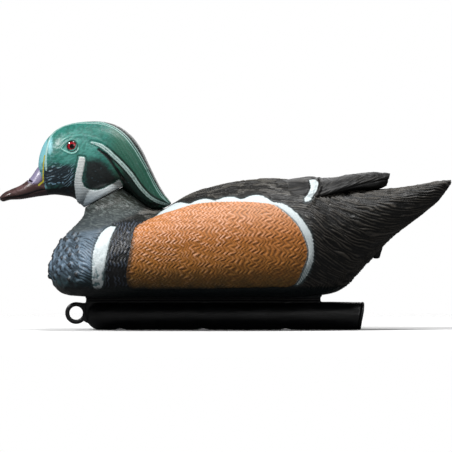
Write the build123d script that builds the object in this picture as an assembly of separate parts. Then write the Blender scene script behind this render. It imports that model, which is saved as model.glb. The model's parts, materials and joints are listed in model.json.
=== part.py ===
from build123d import *
from collections import namedtuple
import math
import os

# Floating duck decoy: a hollow moulded body, a separate swivelling head and a weighted tube keel.
#
# Frame: +Z up, the bill points to -X and the tail to +X, so the duck's left side is -Y.
# The origin is under the middle of the overall length, at the lowest line of the keel tube.
# All sizes are in millimetres.

# ---------------------------------------------------------------- driving dimensions
# Body shell
body_length = 321.5       # breast front to tail tip
body_height = 100.0       # belly to the top of the folded wings
body_width = 137.0        # widest point, across the flanks
body_wall = 2.6           # moulded wall
neck_radius = 17.3        # round top of the neck, where the head seats
neck_tilt = 28.7          # forward lean of the swivel axis, degrees from vertical
neck_top_wall = 4.5       # wall under the neck's top face
belly_pad_width = 24.0    # flat land that the keel seats on
belly_pad_depth = 5.0
belly_pad_margin = 1.0    # the land runs past the keel's flange at both ends

# Head
head_length = 107.0       # forehead to crest tip
head_height = 61.0        # neck seat to crown
head_width = 41.0
head_wall = 2.6
head_floor = 4.4          # wall above the neck seat
bill_length = 36.6
bill_width = 17.5
rim_overhang = 1.2        # the head's rim stands out past the neck by this much
rim_height = 15.0         # round rim, blended into the cheeks
crest_gap = 0.9           # air between the crest and the back
swivel_gap = 0.4          # air between the head's rim and the neck's top face

# Swivel fitting in the neck
collar_bore_radius = 9.0
collar_wall = 2.8
collar_flange = 2.4       # how far the flange reaches past the sleeve
collar_flange_thick = 1.6
collar_length = 11.0
running_clearance = 0.06  # radial, spigot in collar
barb_height = 0.9
barb_end_float = 0.4
barb_length = 3.2
barb_lead = 1.6           # how far the barb's tip tapers in
spigot_bore_radius = 5.2
spigot_flange_radius = 13.2
spigot_flange_thick = 2.4
spigot_head_seat = 1.0    # web below the neck's top face that the screw clamps
spigot_slot_width = 1.6
spigot_slot_length = 7.5
o_ring_section = 1.8
o_ring_depth = 4.0        # neck's top face to the ring's centre
post_radius = 6.0         # post inside the head that takes the screw
post_length = 15.0
neck_screw_radius = 1.75
neck_screw_length = 13.0
neck_screw_head_radius = 3.4
neck_screw_head_thick = 2.2
neck_washer_radius = 4.6
neck_washer_thick = 0.8

# Eyes
eye_radius = 4.1
eye_depth = 3.4           # button behind the rim of its socket
eye_dome = 1.3            # stands out of the socket
eye_socket_wall = 1.4

# Keel
keel_diameter = 22.4
keel_wall = 2.2
keel_length = 222.5       # front dome to the back of the end plug
keel_setback = 29.6       # breast front to the keel's front dome
web_width = 9.0
web_setback = 35.0        # how far the web stops short of the plug's back
flange_width = 19.0
flange_thick = 1.6
web_height = 3.6          # top of the tube to the belly
gasket_thick = 1.0
ring_bore_radius = 5.4
ring_wire = 3.4
ring_width = 5.0
ring_reach = 7.9          # ring centre ahead of the keel's front dome
ring_rise = 13.4
ring_bore_round = 0.5
ring_outer_round = 1.3
plug_flange_thick = 2.4
plug_round = 1.0
plug_spigot_length = 9.0
plug_fit = 0.05           # radial, plug spigot in tube
ballast_gap = 0.15        # air round the ballast
sleeve_wall = 1.5         # tubes moulded through the keel for its screws
sleeve_bore_radius = 3.9
screw_spacing = 66.0
screw_seat_rise = 13.0    # keel bottom to the washers' seat
keel_screw_radius = 2.0
keel_screw_length = 22.0
keel_screw_head_radius = 3.4
keel_screw_head_thick = 2.6
shank_clearance = 0.3
washer_radius = 3.7
washer_thick = 0.8
insert_radius = 4.0
insert_length = 9.0
insert_groove_depth = 0.6
insert_groove_length = 2.0
boss_wall = 2.6           # around and above each insert, inside the body

# Tail vent
vent_drop = 2.2           # the spout's lower end hangs this far below the body's lower line
vent_radius = 2.9
vent_bore_radius = 1.6
vent_bore_length = 17.0
vent_plug_head = 1.4
vent_plug_lip = 0.4
vent_plug_length = 7.0
vent_plug_fit = 0.05
vent_seat_clearance = 0.3

# ---------------------------------------------------------------- outlines
# Each section is an oval that stands across Y on the line from its low point to its top point.
# waist is the height of its widest line as a share of that line; low_round and top_round are the
# exponents of its lower and upper halves, where 2 is an ellipse and more is boxier.
Section = namedtuple("Section", "top_x top_z low_x low_z half_width waist low_round top_round")

# Body, neck to tail. X is in percent of body_length from the breast's front, Z in percent of
# body_height from the belly, and half widths in percent of half body_width.
body_outline = [
    Section(20.2, 82.8, 8.6, 65.5, 27.2, 0.50, 2.0, 2.0),
    Section(22.4, 76.5, 7.0, 59.0, 38.0, 0.50, 2.0, 2.0),
    Section(24.6, 71.0, 4.1, 49.5, 56.9, 0.50, 2.1, 2.0),
    Section(26.8, 69.2, 1.0, 35.0, 75.2, 0.48, 2.2, 2.1),
    Section(28.8, 70.2, 0.0, 20.5, 86.1, 0.45, 2.3, 2.1),
    Section(30.8, 74.4, 2.5, 5.0, 92.0, 0.45, 2.5, 2.1),
    Section(34.6, 81.6, 9.7, 0.3, 96.4, 0.47, 2.8, 2.1),
    Section(42.3, 89.5, 25.2, 0.0, 100.0, 0.46, 3.0, 2.1),
    Section(56.3, 94.8, 50.1, 0.0, 97.1, 0.46, 3.0, 2.1),
    Section(65.7, 91.5, 63.8, 0.6, 84.7, 0.50, 2.8, 2.0),
    Section(72.5, 87.2, 72.2, 5.5, 67.9, 0.56, 2.4, 2.0),
    Section(78.7, 86.0, 78.7, 25.5, 54.0, 0.62, 2.1, 2.1),
    Section(85.3, 86.6, 85.6, 48.5, 43.8, 0.66, 2.0, 2.3),
    Section(92.1, 89.6, 92.4, 65.0, 34.3, 0.68, 2.0, 2.5),
    Section(97.4, 92.8, 97.1, 78.0, 23.4, 0.70, 2.0, 2.5),
    Section(100.0, 93.6, 99.9, 90.8, 8.8, 0.60, 2.0, 2.0),
]
cavity_sections = slice(1, 13)     # the hollow stops short of the neck's top and of the tail's tip
neck_place = (13.78, 80.2)         # centre of the neck's top
vent_place = 81.4                  # the vent, along X

# Folded wing tips, in the same percentages. Their low points are the lower edge of the feathers.
wing_outline = [
    Section(58.0, 93.4, 58.0, 70.0, 62.0, 0.20, 2.4, 2.0),
    Section(64.0, 96.0, 64.0, 74.7, 59.5, 0.20, 2.4, 2.0),
    Section(70.0, 95.6, 70.0, 79.6, 49.0, 0.22, 2.4, 2.0),
    Section(76.0, 98.6, 76.0, 84.4, 34.0, 0.25, 2.4, 2.0),
    Section(82.0, 99.9, 82.0, 86.4, 17.5, 0.30, 2.4, 2.0),
    Section(84.9, 98.8, 84.0, 89.2, 7.0, 0.50, 2.0, 2.0),
]

# Head, face to crest tip. X is in percent of head_length and Z in percent of head_height, both
# from the centre of the neck's top, and half widths are in percent of half head_width.
head_outline = [
    Section(-49.5, 40.7, -42.2, 2.3, 42.0, 0.42, 2.2, 2.2),
    Section(-48.4, 54.6, -39.9, 2.8, 58.5, 0.42, 2.2, 2.2),
    Section(-43.6, 74.3, -36.2, 3.1, 73.2, 0.45, 2.2, 2.3),
    Section(-34.3, 89.2, -30.1, 1.8, 84.9, 0.48, 2.2, 2.3),
    Section(-21.7, 96.9, -23.1, -1.0, 92.7, 0.50, 2.2, 2.3),
    Section(-9.5, 99.3, -16.5, -9.3, 98.5, 0.50, 2.4, 2.3),
    Section(1.7, 98.0, -7.2, -4.4, 100.0, 0.50, 2.6, 2.4),
    Section(11.5, 92.0, 2.6, 5.1, 98.5, 0.50, 2.6, 2.5),
    Section(19.9, 81.0, 11.0, 13.1, 95.6, 0.52, 2.6, 2.6),
    Section(27.4, 63.9, 18.5, 6.2, 90.7, 0.52, 2.2, 2.6),
    Section(33.5, 42.3, 26.0, -4.3, 81.0, 0.52, 2.1, 2.6),
    Section(39.1, 21.8, 34.4, -11.0, 66.3, 0.52, 2.0, 2.5),
    Section(44.7, 4.6, 42.3, -12.1, 47.8, 0.52, 2.0, 2.3),
    Section(50.1, -7.5, 49.3, -11.5, 20.5, 0.50, 2.0, 2.0),
]
crest_sections = range(9, 14)      # these hang over the back, clear of it by crest_gap
head_cavity_sections = slice(1, 12)

# Bill, base to tip. X is in percent of bill_length from its base, Z in percent of head_height
# from the centre of the neck's top, and half widths in percent of half bill_width.
bill_outline = [
    Section(6.0, 49.7, 6.0, 2.3, 96.0, 0.40, 2.2, 2.2),
    Section(-16.1, 39.8, -16.1, 0.8, 92.6, 0.38, 2.2, 2.0),
    Section(-35.0, 24.6, -35.0, -1.1, 89.1, 0.40, 2.2, 2.0),
    Section(-55.5, 15.4, -55.5, -3.0, 93.7, 0.42, 2.3, 2.0),
    Section(-78.7, 9.3, -78.7, -3.8, 99.4, 0.45, 2.4, 2.1),
    Section(-94.3, 3.3, -94.3, -5.9, 70.9, 0.50, 2.2, 2.0),
    Section(-100.0, -0.3, -100.0, -3.9, 29.7, 0.50, 2.0, 2.0),
]
bill_base_share = 0.438            # neck centre to the bill's base, over head_length
eye_place = (-0.237, 0.661, 0.86)  # shares of head_length, head_height and half head_width

# ---------------------------------------------------------------- places that follow from them
belly_z = keel_diameter + web_height
neck_reach = neck_place[0] * body_length / 100
neck_rise = neck_place[1] * body_height / 100
neck_to_bill_tip = bill_base_share * head_length + bill_length
neck_to_tail = body_length - neck_reach
breast_x = (neck_to_bill_tip - neck_to_tail) / 2 - neck_reach
neck_x = breast_x + neck_reach
neck_z = belly_z + neck_rise
lean = math.radians(neck_tilt)
neck_plane = Plane(
    origin=(neck_x, 0, neck_z),
    x_dir=(math.cos(lean), 0, math.sin(lean)),
    z_dir=(-math.sin(lean), 0, math.cos(lean)),
)

keel_radius = keel_diameter / 2
keel_front_x = breast_x + keel_setback
keel_rear_x = keel_front_x + keel_length
web_rear_x = keel_rear_x - web_setback
web_middle_x = (keel_front_x + web_rear_x) / 2
web_length = web_rear_x - keel_front_x
flange_top_z = belly_z - gasket_thick
screw_places = [web_middle_x + step * screw_spacing for step in (-1, 0, 1)]
ring_x = keel_front_x - ring_reach
ring_outer_radius = ring_bore_radius + ring_wire

sleeve_outer_radius = collar_bore_radius + collar_wall
flange_outer_radius = sleeve_outer_radius + collar_flange
spigot_radius = collar_bore_radius - running_clearance
seat_top = swivel_gap + spigot_flange_thick     # top of the spigot's flange, above the neck's top


# ---------------------------------------------------------------- shape helpers
def placed(section, origin_x, origin_z, unit_x, unit_z, unit_y):
    """The section in millimetres, from its percentages."""
    return section._replace(
        top_x=origin_x + section.top_x * unit_x / 100,
        top_z=origin_z + section.top_z * unit_z / 100,
        low_x=origin_x + section.low_x * unit_x / 100,
        low_z=origin_z + section.low_z * unit_z / 100,
        half_width=section.half_width * unit_y / 100,
    )


def inset(section, wall):
    """The section drawn in by the wall on every side."""
    rise = math.hypot(section.top_x - section.low_x, section.top_z - section.low_z)
    step_x = (section.top_x - section.low_x) / rise * wall
    step_z = (section.top_z - section.low_z) / rise * wall
    return section._replace(
        top_x=section.top_x - step_x,
        top_z=section.top_z - step_z,
        low_x=section.low_x + step_x,
        low_z=section.low_z + step_z,
        half_width=section.half_width - wall,
    )


def section_wire(section, points=24):
    """The section's closed outline, with the same parameters on every section so that a skin stays light."""
    outline = []
    for step in range(points):
        angle = 2 * math.pi * step / points
        level, side = -math.cos(angle), math.sin(angle)
        power = 2 / (section.top_round if level > 0 else section.low_round)
        reach = (1 - section.waist) if level > 0 else section.waist
        share = section.waist + math.copysign(abs(level) ** power, level) * reach
        across = math.copysign(abs(side) ** power, side) * section.half_width
        outline.append(Vector(
            section.low_x + share * (section.top_x - section.low_x),
            across,
            section.low_z + share * (section.top_z - section.low_z),
        ))
    steps = [step / points for step in range(points + 1)]
    return Wire([Edge.make_spline(outline, periodic=True, parameters=steps)])


def skin(sections):
    """A solid lofted through the sections."""
    return Solid.make_loft([section_wire(section) for section in sections])


def neck_section(radius, height):
    """A round section square to the swivel axis, at a height above the neck's top."""
    top = neck_plane.from_local_coords((radius, 0, height))
    low = neck_plane.from_local_coords((-radius, 0, height))
    return Section(top.X, top.Z, low.X, low.Z, radius, 0.5, 2.0, 2.0)


def upright(radius, low, high):
    """A cylinder along Z between two heights."""
    base = (Align.CENTER, Align.CENTER, Align.MIN)
    return Pos(0, 0, low) * Cylinder(radius, high - low, align=base)


def along_x(radius, start, end):
    """A cylinder along X on the keel's centre line."""
    turned = Rot(0, 90, 0) * upright(radius, start, end)
    return Pos(0, 0, keel_radius) * turned


def on_screws(shape):
    """One copy of the shape on each keel screw's axis."""
    return [Pos(x, 0, 0) * shape for x in screw_places]


body_sections = [neck_section(neck_radius, 0)] + [
    placed(s, breast_x, belly_z, body_length, body_height, body_width / 2) for s in body_outline
]
wing_sections = [
    placed(s, breast_x, belly_z, body_length, body_height, body_width / 2) for s in wing_outline
]


def height_along(line, x):
    """Height at x of a line of (x, z) points that run towards the tail."""
    for (x0, z0), (x1, z1) in zip(line, line[1:]):
        if x0 <= x <= x1:
            return z0 + (z1 - z0) * (x - x0) / (x1 - x0)
    return line[-1][1]


back_line = [(s.top_x, s.top_z) for s in body_sections]
under_line = [(s.low_x, s.low_z) for s in body_sections if s.low_x > 0]
vent_x = breast_x + vent_place * body_length / 100
spout_z = height_along(under_line, vent_x) - vent_drop


def head_sections():
    """The head's sections; the crest's low points follow the back at crest_gap above it."""
    sections = []
    for index, section in enumerate(head_outline):
        section = placed(section, neck_x, neck_z, head_length, head_height, head_width / 2)
        if index in crest_sections:
            low_z = height_along(back_line, section.low_x) + crest_gap
            section = section._replace(low_z=low_z, top_z=max(section.top_z, low_z + crest_gap))
        sections.append(section)
    return sections


# ---------------------------------------------------------------- the pieces
def make_body_shell():
    """Blow-moulded body: neck, breast, back, folded wings and tail, hollow, with its belly land."""
    bore_top = belly_z + insert_length
    boss_top = bore_top + boss_wall
    outer = skin(body_sections)
    hollow = skin(
        [neck_section(neck_radius - body_wall, -neck_top_wall)]
        + [inset(s, body_wall) for s in body_sections[1:][cavity_sections]]
    )
    boss = upright(insert_radius + boss_wall, belly_z, boss_top)
    for x in screw_places:
        hollow -= Pos(x, 0, 0) * boss
    land = Pos(web_middle_x, 0, belly_z) * Box(
        web_length + 2 * belly_pad_margin, belly_pad_width, belly_pad_depth,
        align=(Align.CENTER, Align.CENTER, Align.MIN),
    )
    spout = Pos(vent_x, 0, 0) * upright(vent_radius, spout_z, spout_z + vent_bore_length)
    below = Pos(web_middle_x, 0, belly_z) * Box(
        2 * body_length, 2 * body_width, belly_pad_depth,
        align=(Align.CENTER, Align.CENTER, Align.MAX),
    )
    shell = outer + skin(wing_sections) - hollow + land - below + spout
    shell -= Pos(vent_x, 0, 0) * upright(vent_bore_radius, spout_z, spout_z + vent_bore_length)
    shell -= Pos(vent_x, 0, 0) * upright(
        vent_radius + vent_plug_lip + vent_seat_clearance, spout_z - body_wall, spout_z
    )
    for x in screw_places:
        shell -= Pos(x, 0, 0) * upright(insert_radius, belly_z, bore_top)
    shell -= neck_plane.location * upright(sleeve_outer_radius, -2 * neck_top_wall, 1)
    shell -= neck_plane.location * upright(flange_outer_radius, -collar_flange_thick, 1)
    return shell


def make_vent_plug():
    """Soft plug that closes the vent under the tail."""
    head = upright(vent_radius + vent_plug_lip, spout_z - vent_plug_head, spout_z)
    head = fillet(head.edges().group_by(Axis.Z)[0], vent_plug_lip)
    stem = upright(vent_bore_radius - vent_plug_fit, spout_z, spout_z + vent_plug_length)
    return Pos(vent_x, 0, 0) * (head + stem)


def make_neck_collar():
    """Flanged bush, pressed into the neck's top."""
    collar = upright(sleeve_outer_radius, -collar_length, -collar_flange_thick)
    collar += upright(flange_outer_radius, -collar_flange_thick, 0)
    collar -= upright(collar_bore_radius, -collar_length, 0)
    return neck_plane.location * collar


def make_neck_spigot():
    """Snap spigot under the head: flange, grooved shaft and four barbed fingers."""
    barb_top = -collar_length - barb_end_float
    tip = barb_top - barb_length
    barb_radius = spigot_radius + barb_height
    base = (Align.CENTER, Align.CENTER, Align.MIN)
    barb = Pos(0, 0, tip) * Cone(barb_radius - barb_lead, barb_radius, barb_length, align=base)
    spigot = upright(spigot_radius, barb_top, swivel_gap)
    spigot += barb
    spigot += upright(spigot_flange_radius, swivel_gap, seat_top)
    spigot -= upright(spigot_bore_radius, tip, -spigot_head_seat)
    spigot -= upright(neck_screw_radius, -spigot_head_seat, seat_top)
    groove_half = o_ring_section * 0.55
    groove = upright(collar_bore_radius, -o_ring_depth - groove_half, -o_ring_depth + groove_half)
    groove -= upright(
        spigot_radius - o_ring_section, -o_ring_depth - groove_half, -o_ring_depth + groove_half
    )
    spigot -= groove
    for turn in (0, 90):
        slot = Box(3 * spigot_radius, spigot_slot_width, spigot_slot_length, align=base)
        spigot -= Rot(0, 0, turn) * (Pos(0, 0, tip) * slot)
    return neck_plane.location * spigot


def make_o_ring():
    """Rubber ring in the spigot's groove: it seals the neck and gives the head its drag."""
    ring = Torus(spigot_radius - o_ring_section / 2, o_ring_section / 2 - running_clearance / 2)
    return neck_plane.location * (Pos(0, 0, -o_ring_depth) * ring)


def make_neck_washer():
    top = -spigot_head_seat
    washer = upright(neck_washer_radius, top - neck_washer_thick, top)
    washer -= upright(neck_screw_radius, top - neck_washer_thick, top)
    return neck_plane.location * washer


def make_neck_screw():
    """Pan-head screw through the spigot into the post inside the head."""
    seat = -spigot_head_seat - neck_washer_thick
    head = upright(neck_screw_head_radius, seat - neck_screw_head_thick, seat)
    head = fillet(head.edges().group_by(Axis.Z)[0], neck_screw_head_thick / 3)
    cross = Box(neck_screw_head_radius, neck_screw_radius / 2, neck_screw_head_thick)
    for turn in (0, 90):
        head -= Rot(0, 0, turn) * (Pos(0, 0, seat - neck_screw_head_thick) * cross)
    return neck_plane.location * (head + upright(neck_screw_radius, seat, seat + neck_screw_length))


def eye_axis(side):
    """Plane on the head's side at an eye, facing out."""
    along, up, across = eye_place
    return Plane(
        origin=(
            neck_x + along * head_length,
            side * across * head_width / 2,
            neck_z + up * head_height,
        ),
        x_dir=(1, 0, 0),
        z_dir=(0, side, 0),
    )


def make_head_shell():
    """Blow-moulded head: face, bill, cheeks and hanging crest, hollow above its floor."""
    rim_radius = neck_radius + rim_overhang
    far = 2 * (head_length + head_height)
    sections = head_sections()
    bill = skin([
        placed(
            s, neck_x - bill_base_share * head_length, neck_z, bill_length, head_height,
            bill_width / 2,
        )
        for s in bill_outline
    ])
    rim = skin([
        neck_section(rim_radius, swivel_gap),
        neck_section(rim_radius, rim_height / 2),
        neck_section(rim_radius - rim_overhang, rim_height),
    ])
    floor_top = seat_top + head_floor
    hollow = skin([inset(s, head_wall) for s in sections[head_cavity_sections]])
    hollow -= neck_plane.location * upright(far, floor_top - far, floor_top)
    hollow -= neck_plane.location * upright(post_radius, 0, seat_top + post_length)
    for side in (-1, 1):
        hollow -= eye_axis(side).location * upright(
            eye_radius + eye_socket_wall, -eye_depth - eye_socket_wall, eye_depth
        )
    under_seat = neck_plane.location * upright(rim_radius, swivel_gap - far, swivel_gap)
    head = skin(sections) - under_seat + rim - hollow + bill
    head -= neck_plane.location * upright(spigot_flange_radius, swivel_gap - 1, seat_top)
    head -= neck_plane.location * upright(
        neck_screw_radius, seat_top, seat_top + neck_screw_length
    )
    for side in (-1, 1):
        head -= eye_axis(side).location * upright(eye_radius, -eye_depth, far)
    return head


def make_eye(side):
    """Eye button with a domed front, glued into its socket."""
    button = upright(eye_radius, -eye_depth, 0)
    ball_radius = (eye_radius ** 2 + eye_dome ** 2) / (2 * eye_dome)
    ball = Pos(0, 0, eye_dome - ball_radius) * Sphere(ball_radius)
    dome = ball & upright(eye_radius, 0, eye_dome)
    return eye_axis(side).location * (button + dome)


def make_keel_shell():
    """Moulded keel: round tube with a domed front, web and flange on top, line ring in front."""
    tube_end = keel_rear_x - plug_flange_thick
    dome_x = keel_front_x + keel_radius
    bore_radius = keel_radius - keel_wall
    dome_place = Pos(dome_x, 0, keel_radius)
    low = (Align.CENTER, Align.CENTER, Align.MAX)
    web_rise = flange_top_z - keel_radius
    keel = along_x(keel_radius, dome_x, tube_end) + dome_place * Sphere(keel_radius)
    keel += Pos(web_middle_x, 0, flange_top_z) * Box(web_length, web_width, web_rise, align=low)
    keel += Pos(web_middle_x, 0, flange_top_z) * Box(
        web_length, flange_width, flange_thick, align=low
    )
    keel += make_line_ring()
    keel -= along_x(bore_radius, dome_x, keel_rear_x) + dome_place * Sphere(bore_radius)
    sleeve = upright(sleeve_bore_radius + sleeve_wall, keel_wall / 2, keel_diameter)
    for piece in on_screws(sleeve):
        keel += piece
    for piece in on_screws(upright(sleeve_bore_radius, -1, screw_seat_rise)):
        keel -= piece
    for piece in on_screws(upright(keel_screw_radius + shank_clearance, 0, belly_z)):
        keel -= piece
    return keel


def make_line_ring():
    """Ring for the anchor line, on a plate that runs back into the keel's front."""
    plate_end = keel_front_x + keel_radius
    top = ring_rise + ring_outer_radius
    side = Rot(90, 0, 0)
    disc = fillet(Cylinder(ring_outer_radius, ring_width).edges(), ring_outer_round)
    profile = Polygon(
        (ring_x, top), (keel_front_x, top - ring_wire / 4), (keel_front_x, flange_top_z),
        (plate_end, flange_top_z), (plate_end, keel_radius / 2),
        (keel_front_x, keel_radius / 2), (ring_x, ring_rise),
        align=None,
    )
    plate = extrude(Plane.XZ * profile, ring_width / 2, both=True)
    plate += Pos(ring_x, 0, ring_rise) * side * disc
    plate -= Pos(ring_x, 0, ring_rise) * side * Cylinder(ring_bore_radius, 2 * ring_width)
    bore = [
        e for e in plate.edges().filter_by(GeomType.CIRCLE)
        if abs(e.radius - ring_bore_radius) < 0.01
    ]
    return fillet(bore, ring_bore_round)


def make_ballast():
    """Dry fill inside the keel's tube."""
    radius = keel_radius - keel_wall - ballast_gap
    dome_x = keel_front_x + keel_radius
    end = keel_rear_x - plug_flange_thick - plug_spigot_length - ballast_gap
    ballast = along_x(radius, dome_x, end) + Pos(dome_x, 0, keel_radius) * Sphere(radius)
    sleeve = upright(sleeve_bore_radius + sleeve_wall + ballast_gap, 0, keel_diameter)
    for piece in on_screws(sleeve):
        ballast -= piece
    return ballast


def make_end_plug():
    """Plug that closes the tube's rear end."""
    face = keel_rear_x - plug_flange_thick
    flange = along_x(keel_radius, face, keel_rear_x)
    flange = fillet(flange.edges().group_by(Axis.X)[-1], plug_round)
    return flange + along_x(keel_radius - keel_wall - plug_fit, face - plug_spigot_length, face)


def make_gasket():
    """Foam strip between the keel's flange and the belly."""
    strip = Pos(web_middle_x, 0, belly_z) * Box(
        web_length, flange_width, gasket_thick, align=(Align.CENTER, Align.CENTER, Align.MAX)
    )
    for piece in on_screws(upright(keel_screw_radius + shank_clearance, 0, belly_z)):
        strip -= piece
    return strip


def make_keel_washers():
    washer = upright(washer_radius, screw_seat_rise - washer_thick, screw_seat_rise)
    washer -= upright(keel_screw_radius, screw_seat_rise - washer_thick, screw_seat_rise)
    return Compound(children=on_screws(washer))


def make_keel_screws():
    """Pan-head screws up through the keel into the belly's inserts."""
    seat = screw_seat_rise - washer_thick
    head = upright(keel_screw_head_radius, seat - keel_screw_head_thick, seat)
    head = fillet(head.edges().group_by(Axis.Z)[0], keel_screw_head_thick / 3)
    cross = Box(keel_screw_head_radius * 1.3, keel_screw_radius / 2, keel_screw_head_thick)
    for turn in (0, 90):
        head -= Rot(0, 0, turn) * (Pos(0, 0, seat - keel_screw_head_thick) * cross)
    return Compound(children=on_screws(head + upright(keel_screw_radius, seat, seat + keel_screw_length)))


def make_keel_inserts():
    """Grooved threaded inserts in the belly's bosses."""
    middle = belly_z + insert_length / 2
    insert = upright(insert_radius, belly_z, belly_z + insert_length)
    groove = upright(
        insert_radius, middle - insert_groove_length / 2, middle + insert_groove_length / 2
    )
    groove -= upright(
        insert_radius - insert_groove_depth, belly_z, belly_z + insert_length
    )
    insert -= groove
    insert -= upright(keel_screw_radius, belly_z, belly_z + insert_length)
    return Compound(children=on_screws(insert))


pieces = {
    "body_shell": make_body_shell,
    "tail_vent_plug": make_vent_plug,
    "neck_collar": make_neck_collar,
    "neck_spigot": make_neck_spigot,
    "neck_o_ring": make_o_ring,
    "neck_washer": make_neck_washer,
    "neck_screw": make_neck_screw,
    "head_shell": make_head_shell,
    "left_eye": lambda: make_eye(-1),
    "right_eye": lambda: make_eye(1),
    "keel_shell": make_keel_shell,
    "keel_ballast": make_ballast,
    "keel_end_plug": make_end_plug,
    "keel_gasket": make_gasket,
    "keel_washers": make_keel_washers,
    "keel_screws": make_keel_screws,
    "keel_inserts": make_keel_inserts,
}

os.makedirs("parts", exist_ok=True)
for name, make in pieces.items():
    export_step(make(), f"parts/{name}.step")
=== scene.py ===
"""Floating drake wood duck decoy: carved and painted skins, keel and studio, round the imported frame."""
import json
import math

import bmesh
import bpy
import numpy as np
from mathutils import Matrix, Vector


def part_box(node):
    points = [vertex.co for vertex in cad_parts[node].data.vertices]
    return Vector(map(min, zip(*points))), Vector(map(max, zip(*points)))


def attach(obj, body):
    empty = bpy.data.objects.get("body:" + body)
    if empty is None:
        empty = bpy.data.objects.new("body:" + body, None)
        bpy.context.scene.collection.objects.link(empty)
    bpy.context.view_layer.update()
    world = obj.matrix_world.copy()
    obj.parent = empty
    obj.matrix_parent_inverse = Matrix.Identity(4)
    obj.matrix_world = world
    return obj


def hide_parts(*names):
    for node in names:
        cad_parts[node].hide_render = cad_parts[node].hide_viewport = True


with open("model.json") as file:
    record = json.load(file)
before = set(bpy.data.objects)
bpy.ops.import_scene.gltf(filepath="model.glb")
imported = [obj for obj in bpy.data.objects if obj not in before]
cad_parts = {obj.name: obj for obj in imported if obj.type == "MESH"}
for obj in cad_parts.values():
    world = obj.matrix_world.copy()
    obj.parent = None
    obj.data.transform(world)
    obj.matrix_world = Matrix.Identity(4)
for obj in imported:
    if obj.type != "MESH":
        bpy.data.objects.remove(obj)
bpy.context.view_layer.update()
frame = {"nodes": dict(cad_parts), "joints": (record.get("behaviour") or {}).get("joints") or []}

bl_info = {
    "name": "Floating Duck Decoy",
    "version": (1, 0, 0),
    "blender": (4, 5, 0),
    "location": "View3D > Sidebar > Decoy",
    "description": "Builds a carved and painted floating duck decoy around its packed frame",
    "category": "Object",
}

MM = 0.001
FAR = 1e9


def corners(node):
    """The lowest and highest corner of a CAD node, in mm."""
    return [np.array(corner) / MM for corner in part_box(node)]


# ---------------------------------------------------------------- places that the frame gives, in mm
BODY_START, _, BELLY = corners("body_shell")[0]
KEEL_LOW, KEEL_HIGH = corners("keel_shell")
EYE_LOW, EYE_HIGH = corners("left_eye")
EYE = (EYE_LOW + EYE_HIGH) / 2
PLUG_LOW, PLUG_HIGH = corners("tail_vent_plug")
PLUG = (PLUG_LOW + PLUG_HIGH) / 2
SCREWS_LOW, SCREWS_HIGH = corners("keel_screws")
GASKET_LOW, GASKET_HIGH = corners("keel_gasket")
WASHERS_TOP = corners("keel_washers")[1][2]
SWIVEL = np.array(frame["joints"][0]["pos_m"]) / MM
SWIVEL_AXIS = np.array(frame["joints"][0]["axis"])
SWIVEL_FORE = np.array((SWIVEL_AXIS[2], 0.0, -SWIVEL_AXIS[0]))

# ---------------------------------------------------------------- driving sizes, in mm
BODY_UNITS = (321.5, 100.0, 68.5)    # the body's length and height and half its width
HEAD_HALF_WIDTH = 20.5
NECK_RADIUS = 17.3
NECK_RIM = 18.5                      # round lower edge of the head
KEEL_AXIS = 11.0                     # height that the keel's ripples turn about
BILL_BASE = 0.438                    # where the bill starts ahead of the swivel, in head lengths
EYE_DOME, EYE_DEPTH = 1.35, 1.9      # how far an eye stands out of its socket and reaches into it
KNOB_RADIUS, KNOB_SPACING = 3.0, 7.0    # of the carved knobs on the breast
SMOOTH_ROWS = 9                      # rows over which the neck's carving starts, below the head's seat
FLAT_BELLY = 1.2                     # the lowest skin stays uncarved
CREST_GAP = 0.7                      # from the crest's underside to the nape before it is carved
SEAM = 0.01                          # keeps two skins from sharing one face
JOIN = 0.002                         # corners closer than this are one
UNPAINTED = -9.0                     # the value that a mask has far outside its outline

# ---------------------------------------------------------------- outlines
# A section is (top x, top z, low x, low z, half width, waist, low roundness, top roundness): an oval
# that stands across Y between a low and a top point. Its waist is the height of its widest line as a
# share of the oval, and its roundness is 2 for an ellipse and more for a boxier curve.
# Body, neck to tail: X in percent of the length, Z in percent of the height, half widths in percent.
BODY_SECTIONS = [
    (20.2, 82.8, 8.6, 65.5, 27.2, 0.50, 2.0, 2.0),
    (22.4, 76.5, 7.0, 59.0, 38.0, 0.50, 2.0, 2.0),
    (24.6, 71.0, 4.1, 49.5, 56.9, 0.50, 2.1, 2.0),
    (26.8, 69.2, 1.0, 35.0, 75.2, 0.48, 2.2, 2.1),
    (28.8, 70.2, 0.0, 20.5, 86.1, 0.45, 2.3, 2.1),
    (30.8, 74.4, 2.5, 5.0, 92.0, 0.45, 2.5, 2.1),
    (34.6, 81.6, 9.7, 0.3, 96.4, 0.47, 2.8, 2.1),
    (42.3, 89.5, 25.2, 0.0, 100.0, 0.46, 3.0, 2.1),
    (56.3, 94.8, 50.1, 0.0, 97.1, 0.46, 3.0, 2.1),
    (65.7, 91.5, 63.8, 0.6, 84.7, 0.50, 2.8, 2.0),
    (72.5, 87.2, 72.2, 5.5, 67.9, 0.56, 2.4, 2.0),
    (78.7, 86.0, 78.7, 25.5, 54.0, 0.62, 2.1, 2.1),
    (85.3, 86.6, 85.6, 48.5, 43.8, 0.66, 2.0, 2.3),
    (92.1, 89.6, 92.4, 65.0, 34.3, 0.68, 2.0, 2.5),
    (97.4, 92.8, 97.1, 78.0, 23.4, 0.70, 2.0, 2.5),
    (100.0, 93.6, 99.9, 90.8, 8.8, 0.60, 2.0, 2.0),
]
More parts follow.
